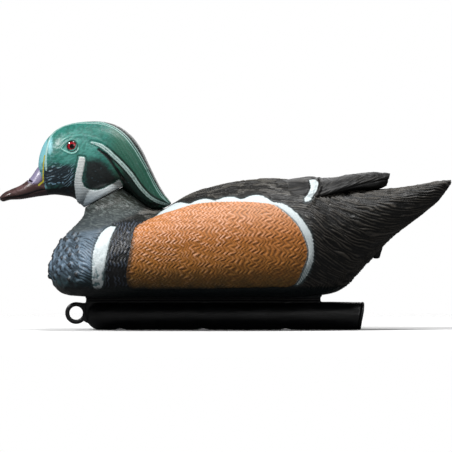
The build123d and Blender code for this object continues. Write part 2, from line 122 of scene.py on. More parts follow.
# Folded wing tips, in the same percentages.
WING_SECTIONS = [
    (58.0, 93.4, 58.0, 70.0, 62.0, 0.20, 2.4, 2.0),
    (64.0, 96.0, 64.0, 74.7, 59.5, 0.20, 2.4, 2.0),
    (70.0, 95.6, 70.0, 79.6, 49.0, 0.22, 2.4, 2.0),
    (76.0, 98.6, 76.0, 84.4, 34.0, 0.25, 2.4, 2.0),
    (82.0, 99.9, 82.0, 86.4, 17.5, 0.30, 2.4, 2.0),
    (84.9, 98.8, 84.0, 89.2, 7.0, 0.50, 2.0, 2.0),
]
# Head, face to crest tip: X in percent of the head's length and Z of its height, from the swivel.
HEAD_SECTIONS = [
    (-49.5, 40.7, -42.2, 2.3, 42.0, 0.42, 2.2, 2.2),
    (-48.4, 54.6, -39.9, 2.8, 58.5, 0.42, 2.2, 2.2),
    (-43.6, 74.3, -36.2, 3.1, 73.2, 0.45, 2.2, 2.3),
    (-34.3, 89.2, -30.1, 1.8, 84.9, 0.48, 2.2, 2.3),
    (-21.7, 96.9, -23.1, -1.0, 92.7, 0.50, 2.2, 2.3),
    (-9.5, 99.3, -16.5, -9.3, 98.5, 0.50, 2.4, 2.3),
    (1.7, 98.0, -7.2, -4.4, 100.0, 0.50, 2.6, 2.4),
    (11.5, 92.0, 2.6, 5.1, 98.5, 0.50, 2.6, 2.5),
    (19.9, 81.0, 11.0, 13.1, 95.6, 0.52, 2.6, 2.6),
    (27.4, 63.9, 18.5, 6.2, 90.7, 0.52, 2.2, 2.6),
    (33.5, 42.3, 26.0, -4.3, 81.0, 0.52, 2.1, 2.6),
    (39.1, 21.8, 34.4, -11.0, 66.3, 0.52, 2.0, 2.5),
    (44.7, 4.6, 42.3, -12.1, 47.8, 0.52, 2.0, 2.3),
    (50.1, -7.5, 49.3, -11.5, 20.5, 0.50, 2.0, 2.0),
]
# Bill, base to tip: X in percent of its length ahead of its base, Z as for the head.
BILL_SECTIONS = [
    (6.0, 49.7, 6.0, 2.3, 90.0, 0.40, 2.2, 2.2),
    (-16.1, 39.8, -16.1, 0.8, 92.6, 0.38, 2.2, 2.0),
    (-35.0, 24.6, -35.0, -1.1, 89.1, 0.40, 2.2, 2.0),
    (-55.5, 15.4, -55.5, -3.0, 93.7, 0.42, 2.3, 2.0),
    (-78.7, 9.3, -78.7, -3.8, 99.4, 0.45, 2.4, 2.1),
    (-94.3, 3.3, -94.3, -5.9, 70.9, 0.50, 2.2, 2.0),
    (-100.0, -0.3, -100.0, -3.9, 29.7, 0.50, 2.0, 2.0),
]

# Plumage, seen from the side: outlines and lines of (x, z) in mm, in the frame.
COLLAR = [(-141, 76), (-118, 78), (-100, 80), (-88, 85), (-76, 90), (-60, 97)]
BREAST_REAR = [(-103, 60), (-101, 70), (-96, 78), (-89, 86)]
RUMP_FRONT = [(62, 40), (68, 80), (66, 104), (74, 125)]
WING_LOWER = [(45, 100), (66, 103.0), (80, 106.5), (93, 111.5), (108, 116.2), (120, 118.6), (128, 119.6)]
TAIL_UNDERSIDE = [(90, 95), (180, 112)]
# Height of the ridge down the middle of the nape, under the crest, as (x, height).
NAPE_RIDGE = [(-66, 1.0), (-62, 1.15), (-59, 1.3), (-50, 1.15), (-47, 0.65), (-42, 0.3)]
FLANK = [
    (-72, 32.5), (-76.5, 35), (-78, 42), (-77.5, 50), (-75.5, 62), (-73, 75), (-71, 82), (-65, 86),
    (-55, 90.5), (-45, 94), (-35, 97), (-25, 100), (-15, 101.3), (0, 102), (15, 102), (30, 101),
    (38, 99.5), (44, 95.5), (50, 90.5), (56, 84), (60, 77), (63, 70), (64.5, 62), (63, 54), (60, 47),
    (57, 40), (52, 35.5), (40, 34.6), (15, 34.2), (-10, 33.3), (-45, 32.5),
]
SCALLOPS = [
    (-57, 89.5), (-53.5, 92.4), (-48.9, 95.4), (-44.4, 98.4), (-38.2, 101.3), (-34.6, 101.5),
    (-29.3, 100.4), (-22, 103.2), (-14.5, 104.4), (-9, 102.9), (-2, 105), (5.7, 106), (13, 104.1),
    (19, 106.5), (25.5, 107.5), (32, 105.2), (38.8, 101.3), (45, 100.6), (50, 98), (58.4, 90.5),
    (64, 83), (67.4, 77), (69.6, 66), (68.6, 54), (65.8, 46.6), (62, 41.4), (56, 36.6), (53, 37.5),
    (56.5, 43), (59, 50), (60, 60), (59, 68), (56, 76), (52, 83), (46, 90), (37, 95.6), (28, 98.2),
    (15, 99.4), (0, 99.4), (-15, 98.6), (-25, 97), (-35, 94), (-45, 90.8), (-52, 88.3),
]
SHOULDER_BAR = [
    (-86.5, 82.3), (-90.5, 82.6), (-94, 81), (-98.3, 76.5), (-101.8, 70), (-104, 62), (-104.8, 50),
    (-104.8, 39), (-103.2, 33.5), (-100, 32), (-97.2, 36), (-96, 45), (-94, 58), (-91.5, 70),
    (-89.3, 77),
]
WING_BAR = [
    (66.5, 119), (67.6, 114), (65.2, 108), (62.6, 104), (63, 102.6), (66, 102.6), (69.5, 107),
    (72.4, 112), (73, 118.5), (70, 119.8),
]
WING_EDGE = [(36, 105.6), (46, 104.9), (55, 103.6), (62, 102), (66, 100.8)]
WING_RIM = [(75.2, 120), (74.8, 113.5), (71.6, 107), (67, 101.2), (63, 97.5)]
BROW = [
    (-142.9, 128), (-143, 138.9), (-141.4, 148.8), (-137.4, 156.8), (-130.4, 161.8), (-122.4, 164.3),
    (-108.4, 165.2), (-96.4, 164), (-88.4, 160.8), (-80.4, 154.8), (-72.9, 145.4), (-66, 134.2),
    (-59.5, 122), (-53.5, 111), (-48.8, 104.6), (-44.8, 101),
]
CHEEK_STRIPE = [
    (-106.5, 149.4), (-100.5, 147.4), (-94.4, 143.4), (-88.4, 138), (-81.8, 131.6), (-75.5, 124.4),
    (-66.6, 112.4), (-60.4, 106.2), (-53.3, 102.1), (-45.6, 99.9),
]
CHEEK_GROOVE = [
    (-101, 144), (-94.5, 138.4), (-88.4, 130.4), (-84, 124), (-79.6, 118), (-74, 111), (-68, 105),
]
CREST_LINES = [
    [(-86, 128), (-79.5, 117.5), (-73, 109.5), (-66, 104.5), (-58, 101), (-50, 99)],
    [(-83, 121), (-77.5, 112.5), (-71, 106.5), (-63, 102.5), (-54, 99)],
]
BROW_FOLD = [(-132, 149.6), (-127, 153.2), (-119, 154.9), (-108.4, 153.8), (-101, 151.2), (-95.4, 147.4)]
CHIN_STRAP = [
    (-116.4, 138), (-112.6, 137.6), (-113, 128), (-114.2, 119), (-112.4, 114.4), (-108.6, 112.2),
    (-104, 111.2), (-98, 112.4), (-90, 116.6), (-84.6, 119.6), (-82, 114.8), (-88, 111),
    (-95, 107.4), (-102, 103.6), (-109, 98.5), (-114, 94), (-120, 94), (-118.4, 101),
    (-119.4, 108), (-120.2, 117), (-119, 126),
]
CHEEK_PATCH = [
    (-111, 135.5), (-102, 136.5), (-95, 133), (-90, 126.5), (-86, 121), (-90, 116), (-99, 111),
    (-106, 110), (-112, 114), (-113.5, 121), (-112.6, 130),
]
LOWER_FACE = [
    (-146, 131), (-139, 131.5), (-130, 131.5), (-121, 131), (-119.5, 121), (-120, 113.5),
    (-128, 113), (-138, 114), (-147, 116),
]
CROWN = [
    (-140, 160), (-132, 168), (-115, 171), (-95, 171), (-75, 162), (-56, 130), (-44, 106),
    (-49, 107.6), (-56.4, 118), (-63, 130.5), (-70.5, 142), (-78, 151.6), (-86, 159.4),
    (-95, 165.2), (-106, 166.8), (-118, 166.2), (-130, 164.4),
]
BILL_LINE = [(-144.2, 139), (-145.2, 131), (-145.6, 124), (-145.4, 118.5)]
BILL_CORNER = [(-145.2, 118.6), (-147.2, 117.2), (-149, 115.6)]
BILL_PATCH = [(-146, 132), (-151.5, 130), (-156.5, 122.4), (-158, 119), (-152.5, 116.6), (-147.5, 119)]
BILL_WEDGE = [(-147, 137), (-152, 130.6), (-153.5, 127), (-151, 128.6), (-148, 132)]
MOUTH = [(-143, 112.6), (-150, 111), (-158, 108.4), (-166, 106.4), (-174, 105.6), (-180, 104.6)]
EYE_LID = [
    (-130.8, 144.4), (-128.6, 147.6), (-125.6, 150.6), (-122, 151.7), (-118.6, 150.4),
    (-116.8, 147.2), (-117.4, 143.8), (-120.2, 141.2), (-124, 141), (-127.6, 142.6),
]


# ---------------------------------------------------------------- curves, noise and carving
def hex_colour(code):
    """A #rrggbb colour as the linear values that shaders take."""
    parts = [int(code[i:i + 2], 16) / 255 for i in (1, 3, 5)]
    return [c / 12.92 if c <= 0.04045 else ((c + 0.055) / 1.055) ** 2.4 for c in parts] + [1.0]


def linear(value):
    """The value itself, or the linear colour where it is written as #rrggbb."""
    return hex_colour(value) if isinstance(value, str) else value


def spline(knots, values, at):
    """Smooth values at new places, from the values at the knots."""
    step = np.diff(knots)[:, None]
    slope = np.diff(values, axis=0) / step
    inner = (slope[:-1] * step[1:] + slope[1:] * step[:-1]) / (step[1:] + step[:-1])
    slopes = np.vstack([slope[:1], inner, slope[-1:]])
    i = np.clip(np.searchsorted(knots, at, side="right") - 1, 0, len(knots) - 2)
    t = ((at - knots[i]) / step[i, 0])[:, None]
    rise = (1 + 2 * t) * (1 - t) ** 2 * values[i] + t * t * (3 - 2 * t) * values[i + 1]
    return rise + t * (1 - t) * step[i] * ((1 - t) * slopes[i] - t * slopes[i + 1])


def curve_through(points, count=140):
    """Even points along a smooth curve through the given ones."""
    points = np.array(points, float)
    knots = np.concatenate([[0], np.cumsum(np.linalg.norm(np.diff(points, axis=0), axis=1))])
    return spline(knots, points, np.linspace(0, knots[-1], count))


def ramp(values, start, end):
    """Rises smoothly from 0 at start to 1 at end."""
    t = np.clip((values - start) / (end - start), 0, 1)
    return t * t * (3 - 2 * t)


def bell(values, width, middle=0.0):
    """1 in the middle, and smoothly down to nothing about two widths away."""
    return np.exp(-((values - middle) / width) ** 2)


def level_of(line, x):
    """How high a side-view line runs at each x."""
    return np.interp(x, *np.transpose(line))


def front_of(line, z):
    """How far back a side-view line runs at each height."""
    return np.interp(z, *np.transpose(line)[::-1])


def inside_by(x, z, outline):
    """How far each place lies inside a closed outline; outside it is negative."""
    ring = curve_through(list(outline) + [outline[0]])
    nearest = np.full(x.shape, FAR)
    inside = np.zeros(x.shape, bool)
    for (ax, az), (bx, bz) in zip(ring, ring[1:]):
        ex, ez = bx - ax, bz - az
        t = np.clip(((x - ax) * ex + (z - az) * ez) / (ex * ex + ez * ez), 0, 1)
        nearest = np.minimum(nearest, (x - ax - t * ex) ** 2 + (z - az - t * ez) ** 2)
        crossed = (az > z) != (bz > z)
        inside ^= crossed & (x < ax + (z - az) * ex / (ez if ez else 1e-9))
    return np.where(inside, 1, -1) * np.sqrt(nearest)


def distance_to(places, targets):
    """Distance from each place to the nearest target, and that target's number."""
    nearest = np.full(len(places), FAR)
    which = np.zeros(len(places), int)
    for number, target in enumerate(targets):
        gap = ((places - target) ** 2).sum(axis=1)
        closer = gap < nearest
        nearest[closer] = gap[closer]
        which[closer] = number
    return np.sqrt(nearest), which


def away_from(line, x, z, count=60):
    """Distance from each place to a side-view line."""
    places = np.stack([x.ravel(), z.ravel()], axis=1)
    return distance_to(places, curve_through(line, count))[0].reshape(x.shape)


def drift(a, b, size, seed):
    """Smooth noise from -1 to 1 over two lengths, with lumps of a size."""
    cells, offset = 97, 400
    grid = np.random.default_rng(seed).uniform(-1, 1, (cells, cells))
    a, b = np.asarray(a) / size + offset, np.asarray(b) / size + offset
    i, j = np.floor(a).astype(int), np.floor(b).astype(int)
    s, t = ramp(a - i, 0, 1), ramp(b - j, 0, 1)
    left, right, near, beyond = i % cells, (i + 1) % cells, j % cells, (j + 1) % cells
    low = grid[left, near] * (1 - s) + grid[right, near] * s
    high = grid[left, beyond] * (1 - s) + grid[right, beyond] * s
    return low * (1 - t) + high * t


def zigzag(phase):
    """Goes from -1 to 1 and back once a turn, in straight runs with slightly soft corners."""
    straightness, reach = 0.96, 1.29
    return np.arcsin(straightness * np.sin(2 * np.pi * phase)) / reach


def barbs(phase, sharp=1.0):
    """Carved ridges, one a turn, from 0 in the grooves to 1 on the crests."""
    return (0.5 + 0.5 * np.cos(2 * np.pi * phase)) ** sharp


def broken(crests, least, noise, start, end):
    """Crests that fade to their least share where the noise is low."""
    return crests * (least + (1 - least) * ramp(noise, start, end))


def section_rows(sections, rows, half_points, low_run=0.0, low_points=0.0):
    """Smooth rows of points through sections given in mm: right half rows from low to top point.
    The first low_run share of each half row gets only a low_points share of its points."""
    sections = np.array(sections, float)
    steps = np.abs(np.diff(sections, axis=0))
    knots = np.concatenate([[0], np.cumsum(np.maximum(
        np.hypot(steps[:, 0], steps[:, 1]), np.hypot(steps[:, 2], steps[:, 3])
    ) + 0.5 * steps[:, 4])])
    s = spline(knots, sections, np.linspace(0, knots[-1], rows))
    angle = np.linspace(0, np.pi, 361)[None, :]
    level, side = -np.cos(angle), np.abs(np.sin(angle))
    power = np.where(level > 0, 2 / s[:, 7:8], 2 / s[:, 6:7])
    waist = s[:, 5:6]
    share = waist + np.sign(level) * np.abs(level) ** power * np.where(level > 0, 1 - waist, waist)
    across = side ** power * s[:, 4:5]
    x = s[:, 2:3] + share * (s[:, 0:1] - s[:, 2:3])
    z = s[:, 3:4] + share * (s[:, 1:2] - s[:, 3:4])
    out = np.empty((rows, half_points, 3))
    share = np.interp(np.linspace(0, 1, half_points), [0, low_points, 1], [0, low_run, 1])
    for row in range(rows):
        line = np.stack([x[row], across[row], z[row]], axis=1)
        run = np.concatenate([[0], np.cumsum(np.linalg.norm(np.diff(line, axis=0), axis=1))])
        for axis in range(3):
            out[row, :, axis] = np.interp(share * run[-1], run, line[:, axis])
    out[:, [0, -1], 1] = 0
    return out


def full_loops(half):
    """Whole loops from half ones."""
    mirrored = half[:, -2:0:-1] * (1, -1, 1)
    return np.concatenate([half, mirrored], axis=1)


def grid_normals(points, looped):
    """Unit normals of a grid of points that point away from its middle line."""
    if looped:
        points = np.concatenate([points[:, -1:], points, points[:, :1]], axis=1)
    normal = np.cross(np.gradient(points, axis=0), np.gradient(points, axis=1))
    if looped:
        normal = normal[:, 1:-1]
    else:
        normal[:, [0, -1], 1] = 0
    normal /= np.linalg.norm(normal, axis=2, keepdims=True) + 1e-12
    base = points[:, 1:-1] if looped else points
    outward = base - base.mean(axis=1, keepdims=True)
    if not looped:
        outward = base - base[:, [0, -1]].mean(axis=1, keepdims=True)
    return normal * np.sign((normal * outward).sum())


def skin_mesh(name, points, looped, masks=None):
    """A closed mesh over rows of points, which are whole loops or halves shut on the centre plane."""
    rows, cols = points.shape[:2]
    index = np.arange(rows * cols).reshape(rows, cols)
    if looped:
        turned = np.roll(index, -1, axis=1)
        quads = np.stack([index[:-1], turned[:-1], turned[1:], index[1:]], axis=-1).reshape(-1, 4)
        flat = []
    else:
        quads = np.stack(
            [index[:-1, :-1], index[:-1, 1:], index[1:, 1:], index[1:, :-1]], axis=-1
        ).reshape(-1, 4)
        flat = np.stack([index[:-1, -1], index[:-1, 0], index[1:, 0], index[1:, -1]], axis=-1).tolist()
    faces = quads.tolist() + flat + [index[0, ::-1].tolist(), index[-1].tolist()]
    mesh = bpy.data.meshes.new(name)
    mesh.from_pydata((points.reshape(-1, 3) * MM).tolist(), [], faces)
    smooth = np.ones(len(faces), bool)
    smooth[len(quads):] = False
    mesh.polygons.foreach_set("use_smooth", smooth)
    mesh.update()
    if signed_volume(mesh) < 0:
        mesh.flip_normals()
    for mask, values in (masks or {}).items():
        store(mesh, mask, values)
    return link(name, mesh)


def signed_volume(mesh):
    """Six times the mesh's volume, positive when its faces point outwards."""
    mesh.calc_loop_triangles()
    corner = np.empty(len(mesh.vertices) * 3)
    mesh.vertices.foreach_get("co", corner)
    corner = corner.reshape(-1, 3)
    faces = np.empty(len(mesh.loop_triangles) * 3, np.int32)
    mesh.loop_triangles.foreach_get("vertices", faces)
    a, b, c = (corner[faces.reshape(-1, 3)[:, k]] for k in range(3))
    return (a * np.cross(b, c)).sum()


def store(mesh, name, values):
    """Keeps one value for each vertex, for the materials."""
    layer = mesh.attributes.get(name) or mesh.attributes.new(name, "FLOAT", "POINT")
    layer.data.foreach_set("value", np.ascontiguousarray(values, np.float32).ravel())


def store_even(mesh, **values):
    """Keeps the same values for every vertex."""
    for name, value in values.items():
        store(mesh, name, np.full(len(mesh.vertices), value))


def link(name, mesh):
    """An object for a mesh, in the scene."""
    made = bpy.data.objects.new(name, mesh)
    bpy.context.scene.collection.objects.link(made)
    return made


def evaluated(source, name):
    """A plain mesh object of what a source object's modifiers give; the source is removed."""
    view = source.evaluated_get(bpy.context.evaluated_depsgraph_get())
    mesh = bpy.data.meshes.new_from_object(view)
    bpy.data.objects.remove(source)
    mesh.name = name
    mesh.polygons.foreach_set("use_smooth", np.ones(len(mesh.polygons), bool))
    return link(name, mesh)


def vertices_of(mesh):
    """The mesh's points, in mm, and its vertex normals."""
    places = np.empty(len(mesh.vertices) * 3)
    mesh.vertices.foreach_get("co", places)
    normals = np.empty(len(mesh.vertices) * 3)
    mesh.vertex_normals.foreach_get("vector", normals)
    return places.reshape(-1, 3) / MM, normals.reshape(-1, 3)


def finish_piece(piece, material, body, replaced=()):
    """Gives a piece its material, body and slot."""
    piece.data.materials.clear()
    piece.data.materials.append(material)
    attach(piece, body)
    if replaced:
        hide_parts(*replaced)


def placed(sections, origin, units):
    """Sections in mm from their percentages."""
    table = np.array(sections, float)
    table[:, [0, 2]] = origin[0] + table[:, [0, 2]] * units[0] / 100
    table[:, [1, 3]] = origin[1] + table[:, [1, 3]] * units[1] / 100
    table[:, 4] *= units[2] / 100
    return table


# ---------------------------------------------------------------- sizes and colours that a user would change
class DecoySizes(bpy.types.PropertyGroup):
    """Sizes of the decoy's carving and skins."""

    head_length: bpy.props.FloatProperty(
        name="Head length", description="Forehead to crest tip", default=0.107, unit="LENGTH",
    )
    head_height: bpy.props.FloatProperty(
        name="Head height", description="Neck seat to crown", default=0.061, unit="LENGTH",
    )
    bill_length: bpy.props.FloatProperty(
        name="Bill length", description="Base to tip", default=0.0366, unit="LENGTH",
    )
    bill_width: bpy.props.FloatProperty(
        name="Bill width", description="Across the bill", default=0.0175, unit="LENGTH",
    )
    flank_barb: bpy.props.FloatProperty(
        name="Flank barb height", description="Carved zigzags on the flank", default=0.00085,
        unit="LENGTH",
    )
    knob_height: bpy.props.FloatProperty(
        name="Breast knob height", description="Carved knobs on the breast", default=0.0031,
        unit="LENGTH",
    )
    rump_barb: bpy.props.FloatProperty(
        name="Rump barb height", description="Carved barbs on the rump and tail", default=0.0019,
        unit="LENGTH",
    )


def colour_property(name, code):
    """A colour that a user can change, from its sRGB hex value."""
    return bpy.props.FloatVectorProperty(
        name=name, description=name + " paint", subtype="COLOR", size=4, min=0, max=1,
        default=hex_colour(code),
    )


class DecoyColours(bpy.types.PropertyGroup):
    """The decoy's main paints."""

    teal: colour_property("Head teal", "#2a7468")
    teal_light: colour_property("Light teal", "#569e93")
    crest: colour_property("Crest green", "#2a5d4c")
    crown: colour_property("Crown", "#27332e")
    # Painted shade under the chin
    throat: colour_property("Throat black", "#0b0f10")
    white: colour_property("White", "#d4dee0")
    flank: colour_property("Flank orange", "#bd7431")
    # Painted highlight: the paler, pinker top of the flank
    flank_top_highlight: colour_property("Upper flank", "#d8966a")
    # Olive paint at the foot of the flank, darkened further as painted shade
    flank_low_olive_and_shade: colour_property("Lower flank olive", "#453b1e")
    glint: colour_property("Flank glint", "#f0c2ab")
    breast: colour_property("Breast blue-grey", "#7b91a5")
    back: colour_property("Back brown-black", "#1b1a18")
    back_light: colour_property("Back ridges", "#63605a")
    # The belly's dark paint, darkened further as painted shade
    belly: colour_property("Belly black-teal", "#051316")
    bill: colour_property("Bill maroon", "#43302e")
    keel: colour_property("Keel black", "#0a0b0e")


# ---------------------------------------------------------------- materials
NOISE_LOW, NOISE_HIGH = 0.3, 0.7    # the span that nearly all of a noise texture's values lie in


def add(tree, kind, feeds=None, **settings):
    """Adds one node with its settings; feeds gives its sockets values, colours or other nodes' outputs."""
    made = tree.nodes.new(kind)
    for name, value in settings.items():
        if name == "stops":
            elements = made.color_ramp.elements
            for number, (place, colour) in enumerate(value):
                stop = elements[number] if number < 2 else elements.new(place)
                stop.position, stop.color = place, linear(colour)
        else:
            setattr(made, name, value)
    for socket, value in (feeds or {}).items():
        if isinstance(value, bpy.types.NodeSocket):
            tree.links.new(value, made.inputs[socket])
        else:
            made.inputs[socket].default_value = linear(value)
    return made


def new_material(name):
    """An empty material and its node tree."""
    material = bpy.data.materials.new(name)
    material.use_nodes = True
    material.node_tree.nodes.clear()
    return material, material.node_tree


def grain(tree, size, stretch=(1, 1, 1), detail=3.0):
    """Noise with lumps of a size in mm, drawn out along an axis by its stretch."""
    place = add(tree, "ShaderNodeTexCoord").outputs["Object"]
    drawn = add(tree, "ShaderNodeMapping", {"Vector": place, "Scale": [1 / s for s in stretch]})
    return add(tree, "ShaderNodeTexNoise", {
        "Vector": drawn.outputs[0], "Scale": 1 / (size * MM), "Detail": detail,
    }).outputs["Fac"]


def brushed(tree, name, start, end, ragged=0.0, size=2.0, stretch=(1, 1, 1)):
    """A mask from a piece's own values, with an edge as ragged as a dry brush leaves it."""
    value = add(tree, "ShaderNodeAttribute", attribute_name=name).outputs["Fac"]
    if ragged:
        wander = add(tree, "ShaderNodeMapRange", {
            "Value": grain(tree, size, stretch), "From Min": NOISE_LOW, "From Max": NOISE_HIGH,
            "To Min": -ragged, "To Max": ragged,
        })
        value = add(
            tree, "ShaderNodeMath", {0: value, 1: wander.outputs[0]}, operation="ADD"
        ).outputs[0]
    return add(tree, "ShaderNodeMapRange", {
        "Value": value, "From Min": start, "From Max": end,
    }, interpolation_type="SMOOTHSTEP").outputs[0]


def coat(tree, under, over, *masks):
    """One coat of paint over another, where all its masks are."""
    share = masks[0]
    for mask in masks[1:]:
        share = add(tree, "ShaderNodeMath", {0: share, 1: mask}, operation="MULTIPLY").outputs[0]
    return add(
        tree, "ShaderNodeMix", {0: share, 6: under, 7: over}, data_type="RGBA"
    ).outputs[2]


def layered(tree, paint, *coats):
    """Coats over a paint, in order: each is a colour, its mask's name and edge, and how strong it is."""
    for colour, mask, edge, *strength in coats:
        paint = coat(tree, paint, colour, brushed(tree, mask, *edge), *strength)
    return paint


def rubbed(tree, low, high, start=0.35, end=0.95):
    """A dark coat with a light one rubbed over the crests of the carving."""
    return coat(tree, low, high, brushed(tree, "crest", start, end, 0.18, 1.1))


def paint_surface(tree, colour, roughness, bump, depth, **constants):
    """Closes a material: paint colour, roughness, and fine relief with a depth in mm."""
    relief = add(tree, "ShaderNodeBump", {"Height": bump, "Distance": depth * MM, "Strength": 1.0})
    shader = add(tree, "ShaderNodeBsdfPrincipled", {
        "Base Color": colour, "Roughness": roughness, "Normal": relief.outputs[0],
        **{name.replace("_", " "): value for name, value in constants.items()},
    })
    add(tree, "ShaderNodeOutputMaterial", {"Surface": shader.outputs[0]})


def uneven(tree, low, high, size):
    """A roughness that wanders between two values."""
    return add(tree, "ShaderNodeMapRange", {
        "Value": grain(tree, size), "From Min": 0.35, "From Max": 0.65, "To Min": low, "To Max": high,
    }).outputs[0]


def height_stops(tree, low, high, stops):
    """Colours by height on the piece: stops from 0 at the low height to 1 at the high one, in mm."""
    place = add(tree, "ShaderNodeTexCoord").outputs["Object"]
    up = add(tree, "ShaderNodeSeparateXYZ", {0: place}).outputs["Z"]
    share = add(tree, "ShaderNodeMapRange", {
        "Value": up, "From Min": low * MM, "From Max": high * MM,
    }).outputs[0]
    mottled = add(tree, "ShaderNodeMapRange", {
        "Value": grain(tree, 6.0), "From Min": NOISE_LOW, "From Max": NOISE_HIGH,
        "To Min": -0.05, "To Max": 0.05,
    }).outputs[0]
    total = add(tree, "ShaderNodeMath", {0: share, 1: mottled}, operation="ADD").outputs[0]
    return add(tree, "ShaderNodeValToRGB", {0: total}, stops=stops).outputs[0]


def body_paint(colours):
    """Matt acrylic, airbrushed and dry-brushed on moulded polyethylene: soft gloss, light on the crests.
    Painted highlights: the flank's paler top and its pale glints. Painted shade: the flank's darker front
    edge, and part of the darkening of the lower breast, lower flank and belly.
    """
    material, tree = new_material("matt_acrylic_on_polyethylene_body")
    rump = rubbed(tree, "#030404", "#47433d", 0.25, 0.95)
    neck = layered(
        tree, height_stops(tree, 78, 104, [(0, "#434b50"), (1, "#30342e")]),
        ("#646c6a", "crest", (0.35, 1.0, 0.15, 1.0), 0.7),
    )
    # The breast darkens towards the bottom: partly its paint and partly painted shade
    breast = layered(
        tree, height_stops(tree, 28, 84, [
            (0, "#0e2327"), (1, "#56626b"), (0.2, "#2a3f45"), (0.45, colours.breast),
        ]),
        ("#141d22", "crest", (0.32, 0.02, 0.1, 1.5), 0.8),
        ("#232222", "knob", (0.4, 0.75, 0.12, 1.5), 0.9),
    )
    strip = rubbed(tree, "#0a0c0e", "#414a58", 0.3, 1.0)
    paint = layered(
        tree, rubbed(tree, colours.back, colours.back_light),
        (rump, "rump", (0, 1)),
        (neck, "neck", (0, 1)),
        (breast, "breast", (0, 1)),
        (strip, "strip", (0, 1)),
        ("#0c0c0c", "shadow_line", (0.15, 0.85, 0.2, 1.5)),
    )
    spray = brushed(tree, "white", -2.4, 0.3, 0.8, 2.0)
    paint = coat(tree, paint, "#56696c", spray, brushed(tree, "overspray", 0, 1))
    grooves = brushed(tree, "crest", 0.62, 0.25, 0.15, 1.0)
    flecks = coat(tree, colours.white, "#62858a", brushed(tree, "fleck", 0.1, 1.0), grooves)
    # Flank colour by height: paler and pinker at the top as a painted highlight, olive and darker towards the
    # bottom, partly its paint and partly painted shade
    flank = height_stops(tree, 31, 103, [
        (0, colours.flank_low_olive_and_shade), (1, colours.flank_top_highlight), (0.1, "#7c5b27"), (0.3, "#a86c2b"),
        (0.6, colours.flank),
    ])
    flank = layered(tree, flank, ("#5e3a18", "crest", (0.42, 0.05, 0.1, 1.0), 0.6))
    lit = brushed(tree, "crest", 0.55, 0.95, 0.1, 1.2)
    flank = coat(tree, flank, colours.glint, lit, brushed(tree, "glint", 0, 1), 0.7)
    # Painted shade: the flank darkens along its front edge
    flank = layered(tree, flank, ("#2a1f10", "dusk", (0, 1, 0.15, 3.0), 0.8))
    paint = layered(
        tree, paint,
        (flecks, "white", (-0.45, 0.35, 0.35, 1.6)),
        ("#2b2a26", "seam", (0.1, 0.9, 0.1, 1.5)),
        (flank, "flank", (-0.4, 0.5, 0.4, 1.8)),
        # Painted shade over the belly's own dark paint, on the lowest band of the body
        (colours.belly, "belly", (0.1, 0.9, 0.15, 4.0)),
    )
    bump = coat(tree, grain(tree, 1.1), grain(tree, 0.5, (3, 3, 1)), 0.4)
    paint_surface(tree, paint, uneven(tree, 0.36, 0.52, 5.0), bump, 0.32, IOR=1.49)
    return material


def wing_paint(colours):
    """The same acrylic on the folded wing tips: brown-black with grey rubbed on the quills, painted shade
    under their steps and lower edge, and a dark line round the white bar.
    """
    material, tree = new_material("matt_acrylic_on_polyethylene_wing")
    paint = layered(
        tree, rubbed(tree, "#121212", "#33312e", 0.3, 1.0),
        ("#060606", "shadow_line", (0.2, 0.9)),
        (colours.white, "white", (-0.4, 0.4, 0.2, 1.6)),
    )
    paint_surface(tree, paint, uneven(tree, 0.42, 0.55, 4.0), grain(tree, 0.6, (6, 1, 1)), 0.1, IOR=1.49)
    return material


def head_paint(colours):
    """Satin acrylic on the moulded head: smoother than the body, with a shine on its brow and crest. Painted
    highlights lighten the face ahead of the brow and round the eye; painted shade darkens under the crest,
    under the chin and the foot of the chin strap.
    """
    material, tree = new_material("satin_acrylic_on_polyethylene_head")
    crest = layered(tree, colours.crest, ("#387261", "crest", (0.3, 1.0, 0.2, 2.5), 0.4))
    face = layered(tree, "#212c33", ("#6d8898", "crest", (0.5, 1.0, 0.2, 1.4)))
    # The chin strap greys towards its foot: painted shade
    strap = height_stops(tree, 98, 138, [(0, "#8f9ca6"), (1, "#dfe2de"), (0.45, "#ccd3d3")])
    strap = layered(tree, strap, ("#77838a", "crest", (0.4, 0.1, 0.1, 0.8), 0.75))
    paint = layered(
        tree, colours.teal,
        # Painted highlight: lighter teal round the eye
        (colours.teal_light, "glow", (0, 1, 0.12, 5.0), 0.6),
        ("#17423b", "crest", (0.6, 0.1, 0.1, 1.5), 0.35),
        # Painted highlight: pale cyan on the face ahead of the brow line and on the forehead
        ("#8fd2dc", "front", (0, 1, 0.25, 2.0), 0.85),
        (crest, "mane", (0, 1)),
        (colours.crown, "crown", (-0.8, 1.0, 0.3, 2.0)),
        # Painted shade under the rear of the crest
        ("#0f1c1a", "under", (0, 1, 0.1, 2.0), 0.9),
        (face, "lower_face", (-4.0, 3.5, 2.0, 3.0, (2, 1, 1))),
        ("#1c2222", "cheek", (-3.5, 4.0, 1.0, 3.0)),
        # Painted shade under the chin
        (colours.throat, "throat", (0, 1, 0.2, 2.0)),
        ("#8cb6cf", "jaw_line", (0.2, 0.8, 0.35, 1.2, (3, 1, 1)), 0.8),
        ("#07100d", "shadow_line", (0.1, 0.9, 0.1, 1.5)),
        ("#a3c8c2", "brow", (0.2, 0.8, 0.15, 1.2), 0.8),
        ("#b9cfcc", "stripe", (0.2, 0.8, 0.2, 1.4), 0.9),
        (strap, "strap", (-0.35, 0.35, 0.3, 1.2)),
        ("#9fd0c6", "lid", (0.45, 0.9, 0.15, 1.0)),
        ("#b3ab38", "bill_line", (0.3, 0.75, 0.1, 1.0)),
    )
    paint_surface(tree, paint, uneven(tree, 0.32, 0.46, 4.0), grain(tree, 0.8, (3, 3, 1)), 0.09, IOR=1.49)
    return material


